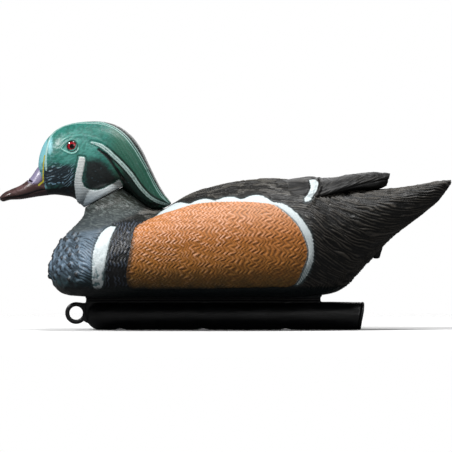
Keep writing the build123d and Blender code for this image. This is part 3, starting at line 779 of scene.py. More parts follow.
def bill_paint(colours):
    """Satin acrylic on the bill: maroon-brown with a lavender saddle and a black ridge and nail, and painted
    shade in the mouth line and nostrils.
    """
    material, tree = new_material("satin_acrylic_on_polyethylene_bill")
    paint = layered(
        tree, colours.bill,
        ("#63494a", "crest", (0.3, 1.0, 0.2, 3.0)),
        ("#87809c", "saddle", (-1.0, 1.2, 0.6, 1.6)),
        ("#0d0b0c", "wedge", (-0.5, 0.6, 0.2, 1.2)),
        ("#120d0e", "shadow_line", (0.2, 0.9, 0.1, 1.0)),
        ("#b3ab38", "bill_line", (0.3, 0.75, 0.1, 1.0)),
    )
    paint_surface(tree, paint, uneven(tree, 0.28, 0.4, 3.0), grain(tree, 0.7), 0.07, IOR=1.49)
    return material


def eye_acrylic():
    """Clear cast acrylic over a painted disc: a wet shine, a red iris and a black pupil."""
    material, tree = new_material("cast_acrylic_eye")
    iris = add(tree, "ShaderNodeValToRGB", {0: brushed(tree, "from_centre", 0, 4, 0.06, 0.8)}, stops=[
        (0, "#050304"), (1, "#2a0508"), (0.42, "#050304"),
        (0.5, "#7a0d14"), (0.68, "#c2182a"), (0.86, "#8a1120"),
    ]).outputs[0]
    paint_surface(
        tree, iris, 0.12, grain(tree, 1.0), 0.001, IOR=1.49, Coat_Weight=1.0, Coat_Roughness=0.02,
    )
    return material


def keel_plastic(colours):
    """High-density polyethylene as blow-moulded: black, waxy satin, slightly rippled, with faint paler
    streaks along its length.
    """
    material, tree = new_material("blow_moulded_polyethylene")
    streaks = add(tree, "ShaderNodeMapRange", {
        "Value": grain(tree, 1.2, (9, 1, 1), 6.0), "From Min": 0.62, "From Max": 0.74,
    }, interpolation_type="SMOOTHSTEP").outputs[0]
    paint = coat(tree, colours.keel, "#1b1d21", streaks, 0.7)
    paint_surface(
        tree, paint, uneven(tree, 0.3, 0.46, 7.0), coat(tree, grain(tree, 6.0), grain(tree, 0.8), 0.25),
        0.25, IOR=1.54,
    )
    return material


def plain_materials():
    """Finishes of the small pieces, each from what it is really made of."""
    made = {}
    for name, low, high, rough, size, depth, constants in (
        # turned and pressed stainless steel: grey, with a fine uneven shine
        ("stainless_steel_turned", "#8f8f8c", "#b9b9b5", (0.25, 0.4), 0.4, 0.02, {"Metallic": 1.0}),
        # turned brass: warm yellow, slightly dull
        ("brass_turned", "#a8803c", "#c9a25a", (0.28, 0.42), 0.5, 0.02, {"Metallic": 1.0}),
        # machined acetal: milky white with a waxy shine
        ("acetal_machined", "#d6d3c8", "#e6e4db", (0.3, 0.42), 0.6, 0.02, {"IOR": 1.48}),
        # nitrile rubber, moulded: dull black
        ("nitrile_rubber_moulded", "#101010", "#1d1d1d", (0.55, 0.75), 0.8, 0.05, {"IOR": 1.52}),
        # closed-cell foam strip: dark grey with fine pores
        ("closed_cell_foam", "#17181a", "#26282b", (0.8, 0.95), 0.4, 0.15, {"IOR": 1.5}),
        # sand and cement fill: coarse pale grains
        ("sand_and_cement", "#6f675a", "#a39a86", (0.85, 1.0), 0.7, 0.3, {"IOR": 1.5}),
    ):
        material, tree = new_material(name)
        paint = coat(tree, low, high, grain(tree, 3 * size))
        paint_surface(tree, paint, uneven(tree, *rough, 4 * size), grain(tree, size), depth, **constants)
        made[name] = material
    return made


# ---------------------------------------------------------------- carved skins
def spaced(places, gap, seed=7):
    """Numbers of places that stand at least a gap apart, taken in a shuffled order."""
    kept = []
    for number in np.random.default_rng(seed).permutation(len(places)):
        if all(np.sum((places[number] - places[other]) ** 2) > gap * gap for other in kept):
            kept.append(number)
    return kept


def unrolled_height(rows):
    """Height of each place of a body half as if its skin were rolled out flat below the top line."""
    steps = np.linalg.norm(np.diff(rows, axis=1), axis=2)
    run = np.concatenate([np.zeros((len(rows), 1)), np.cumsum(steps, axis=1)], axis=1)
    return rows[:, -1:, 2] - (run[:, -1:] - run)


def plumage_regions(x, z):
    """Where the plumage of neck, breast, the strip behind it, back and rump lies, from 0 to 1."""
    neck = ramp(z - level_of(COLLAR, x), -3, 4) * (1 - ramp(x, -74, -56))
    behind = ramp(x - front_of(BREAST_REAR, z), -1.5, 1)
    breast = (1 - neck) * (1 - behind)
    strip = (1 - neck) * behind * (1 - ramp(x, -62, -56)) * (1 - ramp(z, 84, 92))
    rump = ramp(x - front_of(RUMP_FRONT, z), -4, 4)
    back = (1 - neck) * (1 - breast) * (1 - strip) * (1 - rump)
    return neck, breast, strip, back, rump


def plumage_crests(x, z, down):
    """Carved barbs of each kind of plumage, from 0 in the grooves to 1: even rows that noise bends and
    breaks up. A row's spacing is the number that its place is divided by, in mm."""
    wander = drift(x, down, 9, 1)
    sway = 0.42 * zigzag(down / 5.8 + 0.42 * drift(x, down, 13, 2))
    turn = (x + 75) / 3.0 * (1 - 0.0008 * (x + 75)) + sway + 0.5 * wander + 0.3 * drift(x, down, 3.6, 13)
    slant = down + 0.68 * (x - 60) - 0.0045 * (x - 60) ** 2
    along = 0.9 * x - 0.45 * down
    rump_turn = slant / 2.7 + 0.75 * drift(along / 10, slant / 4.6, 1, 9) + 0.16 * drift(x, down, 3.4, 10)
    strip = barbs((x + 97) / 2.6 + 0.2 * zigzag(down / 7 + wander) + 0.7 * wander, 1.1)
    ripples = barbs(down / 3.0 + 0.3 * np.sin(x / 2.1) + 0.9 * drift(x, down, 6, 15), 1.1)
    back = barbs(down / 2.4 + 0.7 * drift(x / 12, down / 4, 1, 7) + 0.02 * x, 0.95)
    quills = barbs((x + 0.55 * down) / 2.4 + 0.3 * wander, 1.3)
    fibres = ramp(drift(x, down / 3.0, 1, 17), -0.7, 0.3)
    return {
        "flank": broken(barbs(turn, 1.1), 0.55, drift(x, down, 3.4, 3), -0.6, 0.3),
        "neck": ramp(drift(0.8 * x + 0.4 * z, down, 1.25, 4) + 0.4 * drift(x, down, 2.6, 5), -0.8, 0.9),
        "strip": broken(strip, 0.45, drift(x, down, 3.3, 14), -0.5, 0.3),
        "ripples": broken(ripples, 0.5, drift(x, down, 4, 6), -0.4, 0.3),
        "back": broken(back, 0.3, drift(x / 1.8, down, 3.4, 8), -0.4, 0.4),
        "rump": broken(barbs(rump_turn, 0.85), 0.5, drift(along / 7, slant / 2.2, 1, 11), -0.5, 0.2),
        "white": np.where(x < -80, fibres, quills),
    }


def breast_knobs(rows, zone):
    """Round knobs spread over a zone of the breast: their crests, and their uneven heights."""
    x, y = rows[:, :, 0], rows[:, :, 1]
    on_centre_plane, every_third = y < 0.01, slice(None, None, 3)
    spots = np.argwhere((zone > 0.3) & (on_centre_plane | (y > KNOB_RADIUS)))[every_third]
    seeds = rows[spots[:, 0], spots[:, 1]]
    seeds = seeds[spaced(seeds, KNOB_SPACING)]
    near = zone > 0.01
    gap, number = distance_to(rows[near], seeds)
    crests = np.zeros(x.shape)
    crests[near] = 1 - ramp(gap, 1.2, 3.4)
    heights = crests.copy()
    heights[near] *= (0.8 + 0.3 * drift(seeds[:, 0], seeds[:, 2], 3, 12))[number]
    return crests, heights


def body_carving(rows, sizes):
    """Height of the carving over a body half, in mm, and the masks that its paint follows."""
    x, y, z = (rows[:, :, axis] for axis in range(3))
    down = unrolled_height(rows)
    flank, bar = inside_by(x, z, FLANK), inside_by(x, z, SHOULDER_BAR)
    white = np.maximum(np.maximum(inside_by(x, z, SCALLOPS), bar), inside_by(x, z, WING_BAR))
    edge, rim = away_from(WING_EDGE, x, z), away_from(WING_RIM, x, z)
    neck, breast, strip, back, rump = plumage_regions(x, z)
    crests = plumage_crests(x, z, down)
    low = 1 - ramp(z, 31.5, 37)

    knob_zone = (1 - ramp(x, -118, -112)) * (1 - ramp(z, 78, 86)) * ramp(z, 33, 42)
    knob_crests, knob_heights = breast_knobs(rows, knob_zone)
    knobs, ripples = knob_zone * breast, breast * (1 - knob_zone)
    nape = ramp(x, -92, -84) * (1 - ramp(x, -50, -40)) * ramp(z, 82, 88) * bell(y, 4.5)
    rump_barb = sizes.rump_barb / MM * (1 - 0.4 * rump * ramp(x, 96, 128))
    crest = (
        crests["neck"] * neck + (0.75 * knob_crests + 0.25 * crests["neck"]) * knobs
        + crests["ripples"] * ripples + crests["strip"] * strip
        + crests["back"] * back + crests["rump"] * rump
    )
    plumage = (
        0.5 * (crests["neck"] - 0.6) * neck * (1 - nape)
        + (sizes.knob_height / MM * (knob_heights - 0.55) + 0.4 * crests["neck"]) * knobs
        + 1.3 * (crests["ripples"] - 0.4) * ripples + (crests["strip"] - 0.4) * strip
        + 0.9 * (crests["back"] - 0.4) * back + rump_barb * (crests["rump"] - 0.45) * rump
    )
    on_flank = ramp(flank, -0.3, 0.9)
    on_white = ramp(white, -0.4, 0.5) * (1 - on_flank)
    plain = (1 - on_flank) * (1 - ramp(white, -0.4, 0.5)) * (1 - 0.75 * low)
    height = plumage * plain + (0.35 + 0.3 * crests["white"]) * on_white + 0.2 * on_flank
    height += sizes.flank_barb / MM * crests["flank"] * on_flank * (1 - 0.6 * low)
    ragged_tail = ramp(x, 92, 120) * ramp(drift(x, down, 2.6, 16), 0.1, 0.9) * (1 - ramp(y, 6, 12))
    height += 0.35 * ragged_tail + 0.6 * bell(rim, 1.6)
    height -= 0.5 * bell(flank, 0.75, -0.7) + 0.7 * bell(edge, 0.9)
    height = height * (1 - nape) + level_of(NAPE_RIDGE, x) * nape
    height *= ramp(np.arange(len(rows))[:, None], 0, SMOOTH_ROWS)
    height[z < BELLY + FLAT_BELLY] = 0
    height *= 1 - (1 - ramp(y, 0.5, 6)) * rump * (z < level_of(TAIL_UNDERSIDE, x))
    masks = {
        "crest": np.clip(crest * plain + crests["flank"] * on_flank + crests["white"] * on_white, 0, 1),
        "knob": knob_crests * knobs, "flank": flank, "white": white, "neck": neck, "breast": breast,
        # belly: the belly's own dark paint with painted shade, on the lowest band
        "strip": strip, "rump": rump, "belly": 1 - ramp(z, 31.6, 37.5),
        "shadow_line": np.clip(bell(edge, 1.0) + 0.6 * bell(white, 0.9, -1.0) * (flank < 0), 0, 1),
        "seam": bell(flank, 0.7, -0.5) * (0.25 + 0.6 * ramp(x, 34, 46)),
        # painted shade along the flank's front edge
        "dusk": (1 - ramp(flank, 0.5, 5)) * (1 - ramp(x, -64, -52)) * (1 - 0.6 * ramp(z, 60, 80)),
        "fleck": np.where(x < 0, 0.25 + 0.65 * (1 - ramp(z, 36, 66)), 0.2 + 0.8 * (1 - ramp(z, 36, 62))),
        "overspray": 0.35 + 0.35 * (1 - ramp(z, 36, 70)),
        "glint": (0.3 + 0.7 * ramp(z, 45, 88)) * (1 - 0.75 * ramp(x, -30, 55)),
    }
    return height, masks


def body_sections():
    """The body's sections behind the neck's seat, in mm."""
    return placed(BODY_SECTIONS, (BODY_START, BELLY), BODY_UNITS)


def build_body(sizes, colours):
    """Two carved and painted halves of the body, shut on the centre plane, and the land under the belly."""
    top, low = SWIVEL + NECK_RADIUS * SWIVEL_FORE, SWIVEL - NECK_RADIUS * SWIVEL_FORE
    seat = [top[0], top[2], low[0], low[2], NECK_RADIUS, 0.5, 2, 2]
    rows = section_rows(np.vstack([seat, body_sections()]), 468, 204, low_run=0.27, low_points=0.1)
    height, masks = body_carving(rows, sizes)
    rows = rows + height[:, :, None] * grid_normals(rows, False)
    rows[:, :, 2] = np.maximum(rows[:, :, 2], BELLY)
    material = body_paint(colours)
    for name, side in (("body_left", -1), ("body_right", 1)):
        half = skin_mesh(name, rows * (1, side, 1), False, masks)
        finish_piece(half, material, "body", ["body_shell"])
    finish_piece(build_belly_land(), material, "body", ["body_shell"])


def build_belly_land():
    """The flat land under the belly that the keel's gasket seats on."""
    past_gasket, half_width, depth, rounding = 1.0, 12.0, 5.0, 0.8
    low = np.array((GASKET_LOW[0] - past_gasket, -half_width, BELLY + SEAM)) * MM
    high = np.array((GASKET_HIGH[0] + past_gasket, half_width, BELLY + depth)) * MM
    mesh = bpy.data.meshes.new("belly_land")
    form = bmesh.new()
    bmesh.ops.create_cube(form, size=1.0)
    for vertex in form.verts:
        vertex.co = Vector(low) + Vector((np.array(vertex.co) + 0.5) * (high - low))
    bmesh.ops.bevel(form, geom=form.edges[:], offset=rounding * MM, segments=3, affect="EDGES")
    form.to_mesh(mesh)
    form.free()
    store_even(mesh, belly=1.0, white=UNPAINTED, flank=UNPAINTED)
    return link("belly_land", mesh)


def wing_carving(x, y, z):
    """Height of the carving over the wing tips, in mm, and the masks that their paint follows."""
    across = np.abs(y)
    up = z - level_of(WING_LOWER, x)
    bar, rim = inside_by(x, z, WING_BAR), away_from(WING_RIM, x, z)
    quill = barbs(up / 1.9 + 0.35 * drift(x / 6, up, 2.2, 21) + across * 0.14, 1.2)
    quill = broken(quill, 0.45, drift(x / 3, up, 3, 22), -0.5, 0.4)
    step = bell(up, 0.7, 0.3) + 0.7 * bell(up, 0.6, 4.6) * ramp(x, 68, 78)
    under = 1 - ramp(up, -0.6, 0.4)
    rough = ramp(drift(x, up + across, 3.2, 23), -0.2, 0.8) * (1 - ramp(across, 8, 16))
    undercut = under * ramp(x, 70, 80) * (1 - ramp(x, 118, 126))
    height = 0.4 * quill * (1 - under) - 0.7 * step - 0.5 * undercut + 0.25 * rough
    height += 0.7 * bell(rim, 1.5) - 0.5 * bell(rim, 0.9, 2.4) * (x > 70)
    height += 0.4 * ramp(bar, -0.4, 0.5) - 0.4 * bell(bar, 0.6, -0.9)
    # Painted shade under the steps and the lower edge, and a dark line round the white bar
    dark = np.clip(step + under + bell(bar, 0.8, -1.0), 0, 1)
    return height, {"crest": quill, "shadow_line": dark, "white": bar}


def build_wing_tips(colours):
    """The folded wing tips that stand proud of the rump, with their quills carved in."""
    rows = full_loops(section_rows(placed(WING_SECTIONS, (BODY_START, BELLY), BODY_UNITS), 250, 120))
    height, masks = wing_carving(*np.moveaxis(rows, 2, 0))
    tips = skin_mesh("wing_tips", rows + height[:, :, None] * grid_normals(rows, True), True, masks)
    finish_piece(tips, wing_paint(colours), "body", ["body_shell"])


def turned(name, profile, centre, segments=48, facets=None, masks=None):
    """A closed piece turned about a line up through its centre, from (radius, height) points in mm.
    Points that facets names are cut to a hexagon instead of a circle."""
    angle = np.linspace(0, 2 * np.pi, segments, endpoint=False)
    hexagon = 1 / np.cos((angle + np.pi / 6) % (np.pi / 3) - np.pi / 6)
    loops = []
    for number, (radius, level) in enumerate(profile):
        reach = radius * (hexagon if facets and number in facets else np.ones(segments))
        loops.append(np.stack([
            centre[0] + reach * np.cos(angle), centre[1] + reach * np.sin(angle),
            np.full(segments, centre[2] + level),
        ], axis=1))
    return skin_mesh(name, np.array(loops), True, masks)


def build_vent_spout(colours):
    """The moulded spout under the tail that the soft plug closes."""
    plug_head = 1.4
    spout = turned("vent_spout", [
        (1.7, 0.6), (1.8, 0.1), (2.8, 0.0), (3.2, 0.3), (3.4, 1.2), (3.9, 3.2), (4.7, 5.4),
        (5.2, 7.5), (4.4, 9.0), (1.7, 9.4),
    ], (PLUG[0], PLUG[1], PLUG_LOW[2] + plug_head))
    store_even(spout.data, crest=0.0, shadow_line=0.7, white=UNPAINTED)
    finish_piece(spout, wing_paint(colours), "body", ["body_shell"])


# ---------------------------------------------------------------- head, bill and eyes
def on_skin(places, line, count=120):
    """Points in space where a side-view line lies on the left half of a skin, mirrored to y >= 0."""
    flat = curve_through(line, count)
    side = places[places[:, 1] >= -0.3]
    found = []
    for x, z in flat:
        nearest = np.argmin((side[:, 0] - x) ** 2 + (side[:, 2] - z) ** 2)
        found.append((x, max(side[nearest, 1], 0), z))
    return np.array(found)


def line_gap(places, line, count=120):
    """Distance from each place to a side-view line on the skin, and how far along it that is."""
    folded = places * (1, 0, 1) + np.abs(places) * (0, 1, 0)
    gap, number = distance_to(folded, on_skin(places, line, count))
    return gap, number / (count - 1)


def swivel_ring(name, profile, segments=96):
    """A closed piece turned about the swivel's axis, from (radius, height) points in mm."""
    ring = turned(name, profile, (0, 0, 0), segments)
    turn = Vector((0, 0, 1)).rotation_difference(Vector(SWIVEL_AXIS)).to_matrix().to_4x4()
    ring.data.transform(Matrix.Translation(Vector(SWIVEL * MM)) @ turn)
    return ring


def combine(target, other, operation):
    """Unites another closed piece with the target, or takes it away, and removes the other."""
    modifier = target.modifiers.new("combine", "BOOLEAN")
    modifier.object, modifier.operation, modifier.solver = other, operation, "EXACT"
    made = evaluated(target, target.name)
    bpy.data.objects.remove(other)
    return made


def softened(source, name, voxel, passes):
    """One even closed skin over a source's pieces, with its edges rounded off."""
    remesh = source.modifiers.new("skin", "REMESH")
    remesh.mode, remesh.voxel_size, remesh.use_smooth_shade = "VOXEL", voxel * MM, True
    smooth = source.modifiers.new("soften", "SMOOTH")
    smooth.factor, smooth.iterations = 0.5, passes
    return evaluated(source, name)


def head_form(sizes):
    """The head without its bill: lofted, cut to the neck's seat, with a round rim blended in."""
    units = (sizes.head_length / MM, sizes.head_height / MM, HEAD_HALF_WIDTH)
    sections = placed(HEAD_SECTIONS, SWIVEL[[0, 2]], units)
    back_line = body_sections()[:, :2]
    crest = slice(9, 14)
    sections[crest, 3] = level_of(back_line, sections[crest, 2]) + CREST_GAP
    form = skin_mesh("head_skin", full_loops(section_rows(sections, 120, 56)), True)
    rim = swivel_ring("rim", [(NECK_RIM, 0.4), (NECK_RIM, 7.5), (NECK_RADIUS, 15.0)])
    below = swivel_ring("below", [(NECK_RIM + 0.1, -30.0), (NECK_RIM + 0.1, 0.4)])
    cut = combine(combine(form, below, "DIFFERENCE"), rim, "UNION")
    return softened(cut, "head_skin", voxel=0.5, passes=12)


def head_carving(places):
    """Height of the carving over the head, in mm, and the masks that its paint follows."""
    x, _, z = places.T
    brow_gap, brow_share = line_gap(places, BROW, 220)
    stripe_gap, stripe_share = line_gap(places, CHEEK_STRIPE, 160)
    fold_gap, fold_share = line_gap(places, BROW_FOLD)
    groove_gap = line_gap(places, CHEEK_GROOVE)[0]
    lid_gap = line_gap(places, EYE_LID + EYE_LID[:1], 90)[0]
    bill_gap = line_gap(places, BILL_LINE, 60)[0]
    hair = np.min([line_gap(places, line)[0] for line in CREST_LINES], axis=0)
    strap, crown, cheek, face, socket = (
        inside_by(x, z, outline) for outline in (CHIN_STRAP, CROWN, CHEEK_PATCH, LOWER_FACE, EYE_LID)
    )
    eye = np.hypot(x - EYE[0], z - EYE[2])

    split = 1.05 * ramp(brow_share, 0.1, 0.2) * (1 - ramp(brow_share, 0.93, 1.0))
    width = 0.35 + 0.5 * (1 - ramp(brow_share, 0.08, 0.16))
    brow = 1 - ramp(np.abs(brow_gap - split), width - 0.15, width + 0.35)
    wide = level_of([(0, 0.6), (0.12, 1.3), (0.5, 1.3), (0.9, 1.0), (1, 0.6)], stripe_share)
    stripe = (1 - ramp(stripe_gap, wide - 0.1, wide + 0.5)) * (0.45 + 0.55 * ramp(stripe_gap, 0.2, 0.8))
    beneath = level_of(CHEEK_STRIPE, x) - z
    mane = ramp(x, -100, -82)
    sweep = 0.88 * z - 0.47 * x - 0.012 * (x + 132) ** 2
    strokes = barbs(sweep / 2.1 + 0.6 * drift((x + z) / 6, sweep / 3, 1, 31), 1.0)
    strokes = broken(strokes, 0.35, drift((x + 0.5 * z) / 4, sweep / 1.8, 1, 35), -0.4, 0.4)
    feathers = ramp(drift(0.8 * x + 0.5 * z, z * 1.6 - x * 0.8, 2.0, 32), -0.6, 0.8)
    ticks = barbs(z / 1.25 + 0.25 * drift(x, z, 4, 33), 1.1)
    strands = barbs(brow_gap / 2.4 + 0.3 * drift(x, z, 8, 34), 1.2)
    crest = (1 - mane) * feathers + mane * strands
    crest = np.where(face > -1, strokes, crest)
    crest = np.where(strap > -0.3, ticks, crest)

    height = 0.22 * (1 - ramp(brow_gap, 1.4, 3.2)) + 0.3 * brow
    height += 0.45 * stripe - 0.5 * bell(stripe_gap, 0.7, wide + 1.0)
    height -= 0.9 * bell(groove_gap, 1.1) + 0.55 * bell(hair, 0.8)
    height += 0.45 * bell(fold_gap, 1.5) * ramp(fold_share, 0, 0.15)
    height += 0.5 * bell(lid_gap, 0.75) - 0.3 * ramp(socket, 0.2, 1.2) * ramp(eye, 3.6, 4.4)
    height += ramp(strap, -0.4, 0.5) * (0.35 + 0.25 * ticks) - 0.3 * bell(strap, 0.6, -0.9)
    height += 0.4 * (strokes - 0.4) * ramp(face, -1, 1) * (strap < -0.5) + 0.08 * feathers * (1 - mane)
    height += 0.07 * strands * mane * (brow_gap > 2) * (1 - ramp(crown, -1, 1))
    height *= ramp((places - SWIVEL) @ SWIVEL_AXIS, 0.8, 3.0)
    jaw = bell(z - 0.12 * (x + 133), 0.9, 117.2) * (x > -144) * (x < -123)
    forehead_highlight = np.exp(-(((x + 139.6) / 2) ** 2 + ((z - 147) / 8) ** 2))
    shadow = (
        0.8 * bell(brow_gap, 0.9, 3.0) * (crown > 0)
        + 0.85 * bell(stripe_gap, 0.8, wide + 1.1) * ramp(stripe_share, 0.1, 0.25)
        + bell(groove_gap, 1.3) + 0.7 * bell(hair, 0.7) + 0.55 * bell(strap, 1.0, -1.3)
        + 0.9 * bell(eye, 0.5, 4.2) + 0.28 * bell(fold_gap, 1.7, 2.2) * (eye > 5)
    )
    return height, {
        "crest": crest, "brow": brow, "stripe": stripe, "strap": strap, "crown": crown, "cheek": cheek,
        "lower_face": face, "mane": mane, "shadow_line": np.clip(shadow, 0, 1),
        "jaw_line": jaw * ramp(drift(x / 1.6, z / 2, 1, 36), -0.5, 0.4),
        # painted shade under the chin
        "throat": (1 - ramp(z - 0.1 * (x + 130), 112.5, 116)) * (1 - ramp(x, -121, -117)),
        "lid": bell(lid_gap, 0.7) * ramp(-z, -151, -143) * 0.9,
        "bill_line": np.exp(-(bill_gap / 0.9) ** 4),
        # painted highlight ahead of the brow line and on the forehead
        "front": 1 - ramp(x, -143.2, -141.6) + forehead_highlight,
        # painted shade under the rear of the crest
        "under": ramp(beneath, 2.2, 4.6) * ramp(x, -86, -78),
        # painted highlight: lighter teal round the eye
        "glow": bell(np.hypot(x + 116, z - 142), 8, 9) + 0.5 * bell(eye, 3, 7),
    }


def build_head(sizes, colours):
    """The carved and painted head, without its bill."""
    head = head_form(sizes)
    places, normals = vertices_of(head.data)
    height, masks = head_carving(places)
    head.data.vertices.foreach_set("co", ((places + height[:, None] * normals) * MM).ravel())
    head.data.update()
    for name, values in masks.items():
        store(head.data, name, values)
    finish_piece(head, head_paint(colours), "head", ["head_shell"])


def bill_carving(x, y, z):
    """Height of the carving over the bill, in mm, and the masks that its paint follows."""
    mouth = np.where(np.abs(y) > 0.5, away_from(MOUTH, x, z, 90), 9)
    nostril = np.hypot((x + 156.2 + 0.6 * (z - 119)) / 2.1, (z - 119.2 + 0.35 * (x + 156)) / 1.0)
    nail = ramp(-x, 172.5, 175.5) * (1 - ramp(np.abs(y), 2.6, 4.0)) * ramp(z, 103, 105.5)
    ridges = barbs(x / 1.7 + 0.4 * drift(x, z, 4, 41)) * (1 - ramp(z, 106, 112)) * ramp(x, -172, -166)
    height = 0.35 * nail - 0.45 * bell(mouth, 0.6) - 0.8 * (1 - ramp(nostril, 0.3, 1.0))
    height += 0.25 * bell(nostril, 0.3, 1.35) + 0.12 * ridges
    height *= ramp(-x, 143.5, 147)
    line = np.minimum(away_from(BILL_LINE, x, z, 50), away_from(BILL_CORNER, x, z, 20))
    # Painted shade in the mouth line and the nostrils, with the nail's own black
    dark = bell(mouth, 0.7) + (1 - ramp(nostril, 0.5, 1.2)) + 0.9 * nail
    return height, {
        "crest": ramp(drift(x / 2, z, 2.5, 42), -0.6, 0.9) * 0.8 + 0.2 * ridges,
        "saddle": inside_by(x, z, BILL_PATCH), "wedge": inside_by(x, z, BILL_WEDGE),
        "shadow_line": np.clip(dark, 0, 1), "bill_line": np.exp(-(line / 0.8) ** 4),
    }


def build_bill(sizes, colours):
    """The bill, with its nostrils, mouth line and nail."""
    units = (sizes.bill_length / MM, sizes.head_height / MM, sizes.bill_width / MM / 2)
    base = SWIVEL[0] - BILL_BASE * sizes.head_length / MM
    rows = full_loops(section_rows(placed(BILL_SECTIONS, (base, SWIVEL[2]), units), 170, 80))
    height, masks = bill_carving(*np.moveaxis(rows, 2, 0))
    bill = skin_mesh("bill", rows + height[:, :, None] * grid_normals(rows, True), True, masks)
    finish_piece(bill, bill_paint(colours), "head", ["head_shell"])


def build_eyes():
    """Glossy domed eyes in their sockets."""
    radius = (EYE_HIGH[0] - EYE_LOW[0]) / 2
    ball = (radius ** 2 + EYE_DOME ** 2) / (2 * EYE_DOME)
    front = abs(EYE_LOW[1]) - EYE_DOME
    profile = [(radius, -EYE_DEPTH)] + [
        (step, math.sqrt(ball ** 2 - step ** 2) - (ball - EYE_DOME)) for step in np.linspace(radius, 0.05, 26)
    ]
    material = eye_acrylic()
    for node, side in (("left_eye", -1), ("right_eye", 1)):
        eye = turned(node + "_glass", profile, (0, 0, 0), 64)
        eye.data.transform(Matrix.Rotation(-side * math.pi / 2, 4, "X"))
        eye.data.transform(Matrix.Translation(Vector((EYE[0], side * front, EYE[2])) * MM))
        places, _ = vertices_of(eye.data)
        store(eye.data, "from_centre", np.hypot(places[:, 0] - EYE[0], places[:, 2] - EYE[2]))
        finish_piece(eye, material, "head", [node])


# ---------------------------------------------------------------- keel, fasteners and fittings
def merged_copy(node):
    """A copy of a CAD node's mesh with its triangles joined up."""
    copy = link(node + "_copy", frame["nodes"][node].data.copy())
    form = bmesh.new()
    form.from_mesh(copy.data)
    bmesh.ops.remove_doubles(form, verts=form.verts, dist=JOIN * MM)
    form.to_mesh(copy.data)
    form.free()
    copy.data.materials.clear()
    return copy


def build_keel(colours):
    """The keel tube, web and line ring, with the soft edges of a blow moulding and a leaning end."""
    lean, lean_run, lean_height = 2.6, 22, 20
    material = keel_plastic(colours)
    for node, name, voxel in (("keel_shell", "keel_tube", 0.75), ("keel_end_plug", "keel_cap", 0.4)):
        piece = softened(merged_copy(node), name, voxel, passes=3)
        places, normals = vertices_of(piece.data)
        turn = np.degrees(np.arctan2(places[:, 1], places[:, 2] - KEEL_AXIS))
        ripple = 0.12 * drift(places[:, 0], turn, 17, 51) * (places[:, 2] > 0.4)
        moved = places + ripple[:, None] * normals
        moved[:, 2] = np.maximum(moved[:, 2], KEEL_LOW[2])
        rearward = ramp(moved[:, 0], KEEL_HIGH[0] - lean_run, KEEL_HIGH[0])
        moved[:, 0] -= lean * rearward * (1 - ramp(moved[:, 2], 0, lean_height))
        piece.data.vertices.foreach_set("co", (moved * MM).ravel())
        piece.data.update()
        finish_piece(piece, material, "body", [node])


def row_along_x(single, name, count, spacing, material):
    """Repeats a single piece along X by Geometry Nodes and returns the row as one plain mesh."""
    tree = bpy.data.node_groups.new(name + " row", "GeometryNodeTree")
    for label, way, kind in (
        ("Piece", "INPUT", "Geometry"), ("Count", "INPUT", "Int"), ("Spacing", "INPUT", "Float"),
        ("Finish", "INPUT", "Material"), ("Row", "OUTPUT", "Geometry"),
    ):
        tree.interface.new_socket(label, in_out=way, socket_type="NodeSocket" + kind)
    given = add(tree, "NodeGroupInput").outputs
    step = add(tree, "ShaderNodeCombineXYZ", {"X": given["Spacing"]})
    line = add(tree, "GeometryNodeMeshLine", {"Count": given["Count"], "Offset": step.outputs[0]})
    copies = add(tree, "GeometryNodeInstanceOnPoints", {
        "Points": line.outputs[0], "Instance": given["Piece"],
    })
    real = add(tree, "GeometryNodeRealizeInstances", {0: copies.outputs[0]})
    dressed = add(tree, "GeometryNodeSetMaterial", {"Geometry": real.outputs[0], "Material": given["Finish"]})
    add(tree, "NodeGroupOutput", {0: dressed.outputs[0]})
    modifier = single.modifiers.new(name, "NODES")
    modifier.node_group = tree
    values = {"Count": count, "Spacing": spacing * MM, "Finish": material}
    for socket in tree.interface.items_tree:
        if socket.in_out == "INPUT" and socket.name in values:
            modifier[socket.identifier] = values[socket.name]
    return evaluated(single, name)


def build_keel_fasteners(materials):
    """Keel screws, their washers and the threaded inserts in the body, each a row of three."""
    count, spacing = 3, 66.0
    thread_core, thread_crest, half_pitch, turns = 1.68, 2.0, 0.35, 30
    x = (SCREWS_LOW[0] + SCREWS_HIGH[0]) / 2 - spacing
    screw = [
        (0.05, -2.0), (1.55, -2.0), (1.6, -3.25), (1.75, -3.4), (2.9, -3.4), (3.39, -2.9), (3.39, -0.8),
        (2.0, -0.8),
    ] + [
        (thread_crest if number % 2 else thread_core, 1.0 + half_pitch * number)
        for number in range(2 * turns)
    ] + [(1.5, 21.1), (0.05, 21.2)]
    washer = [(2.2, -0.8), (3.6, -0.8), (3.69, -0.7), (3.69, -0.1), (3.6, 0.0), (2.2, 0.0)]
    insert = [
        (2.05, 13.0), (3.8, 13.0), (3.99, 13.2), (3.99, 16.4), (3.4, 16.6), (3.4, 18.4), (3.99, 18.6),
        (3.99, 21.8), (3.8, 22.0), (2.05, 22.0),
    ]
    for name, node, profile, facets, finish, slot in (
        ("keel_screw_row", "keel_screws", screw, {1, 2}, "stainless_steel_turned", "stainless"),
        ("keel_washer_row", "keel_washers", washer + washer[:1], None, "stainless_steel_turned", "stainless"),
        ("keel_insert_row", "keel_inserts", insert + insert[:1], None, "brass_turned", "insert_brass"),
    ):
        single = turned_ring(name, profile, (x, 0, WASHERS_TOP), facets)
        row = row_along_x(single, name, count, spacing, materials[finish])
        finish_piece(row, materials[finish], "body", [node])


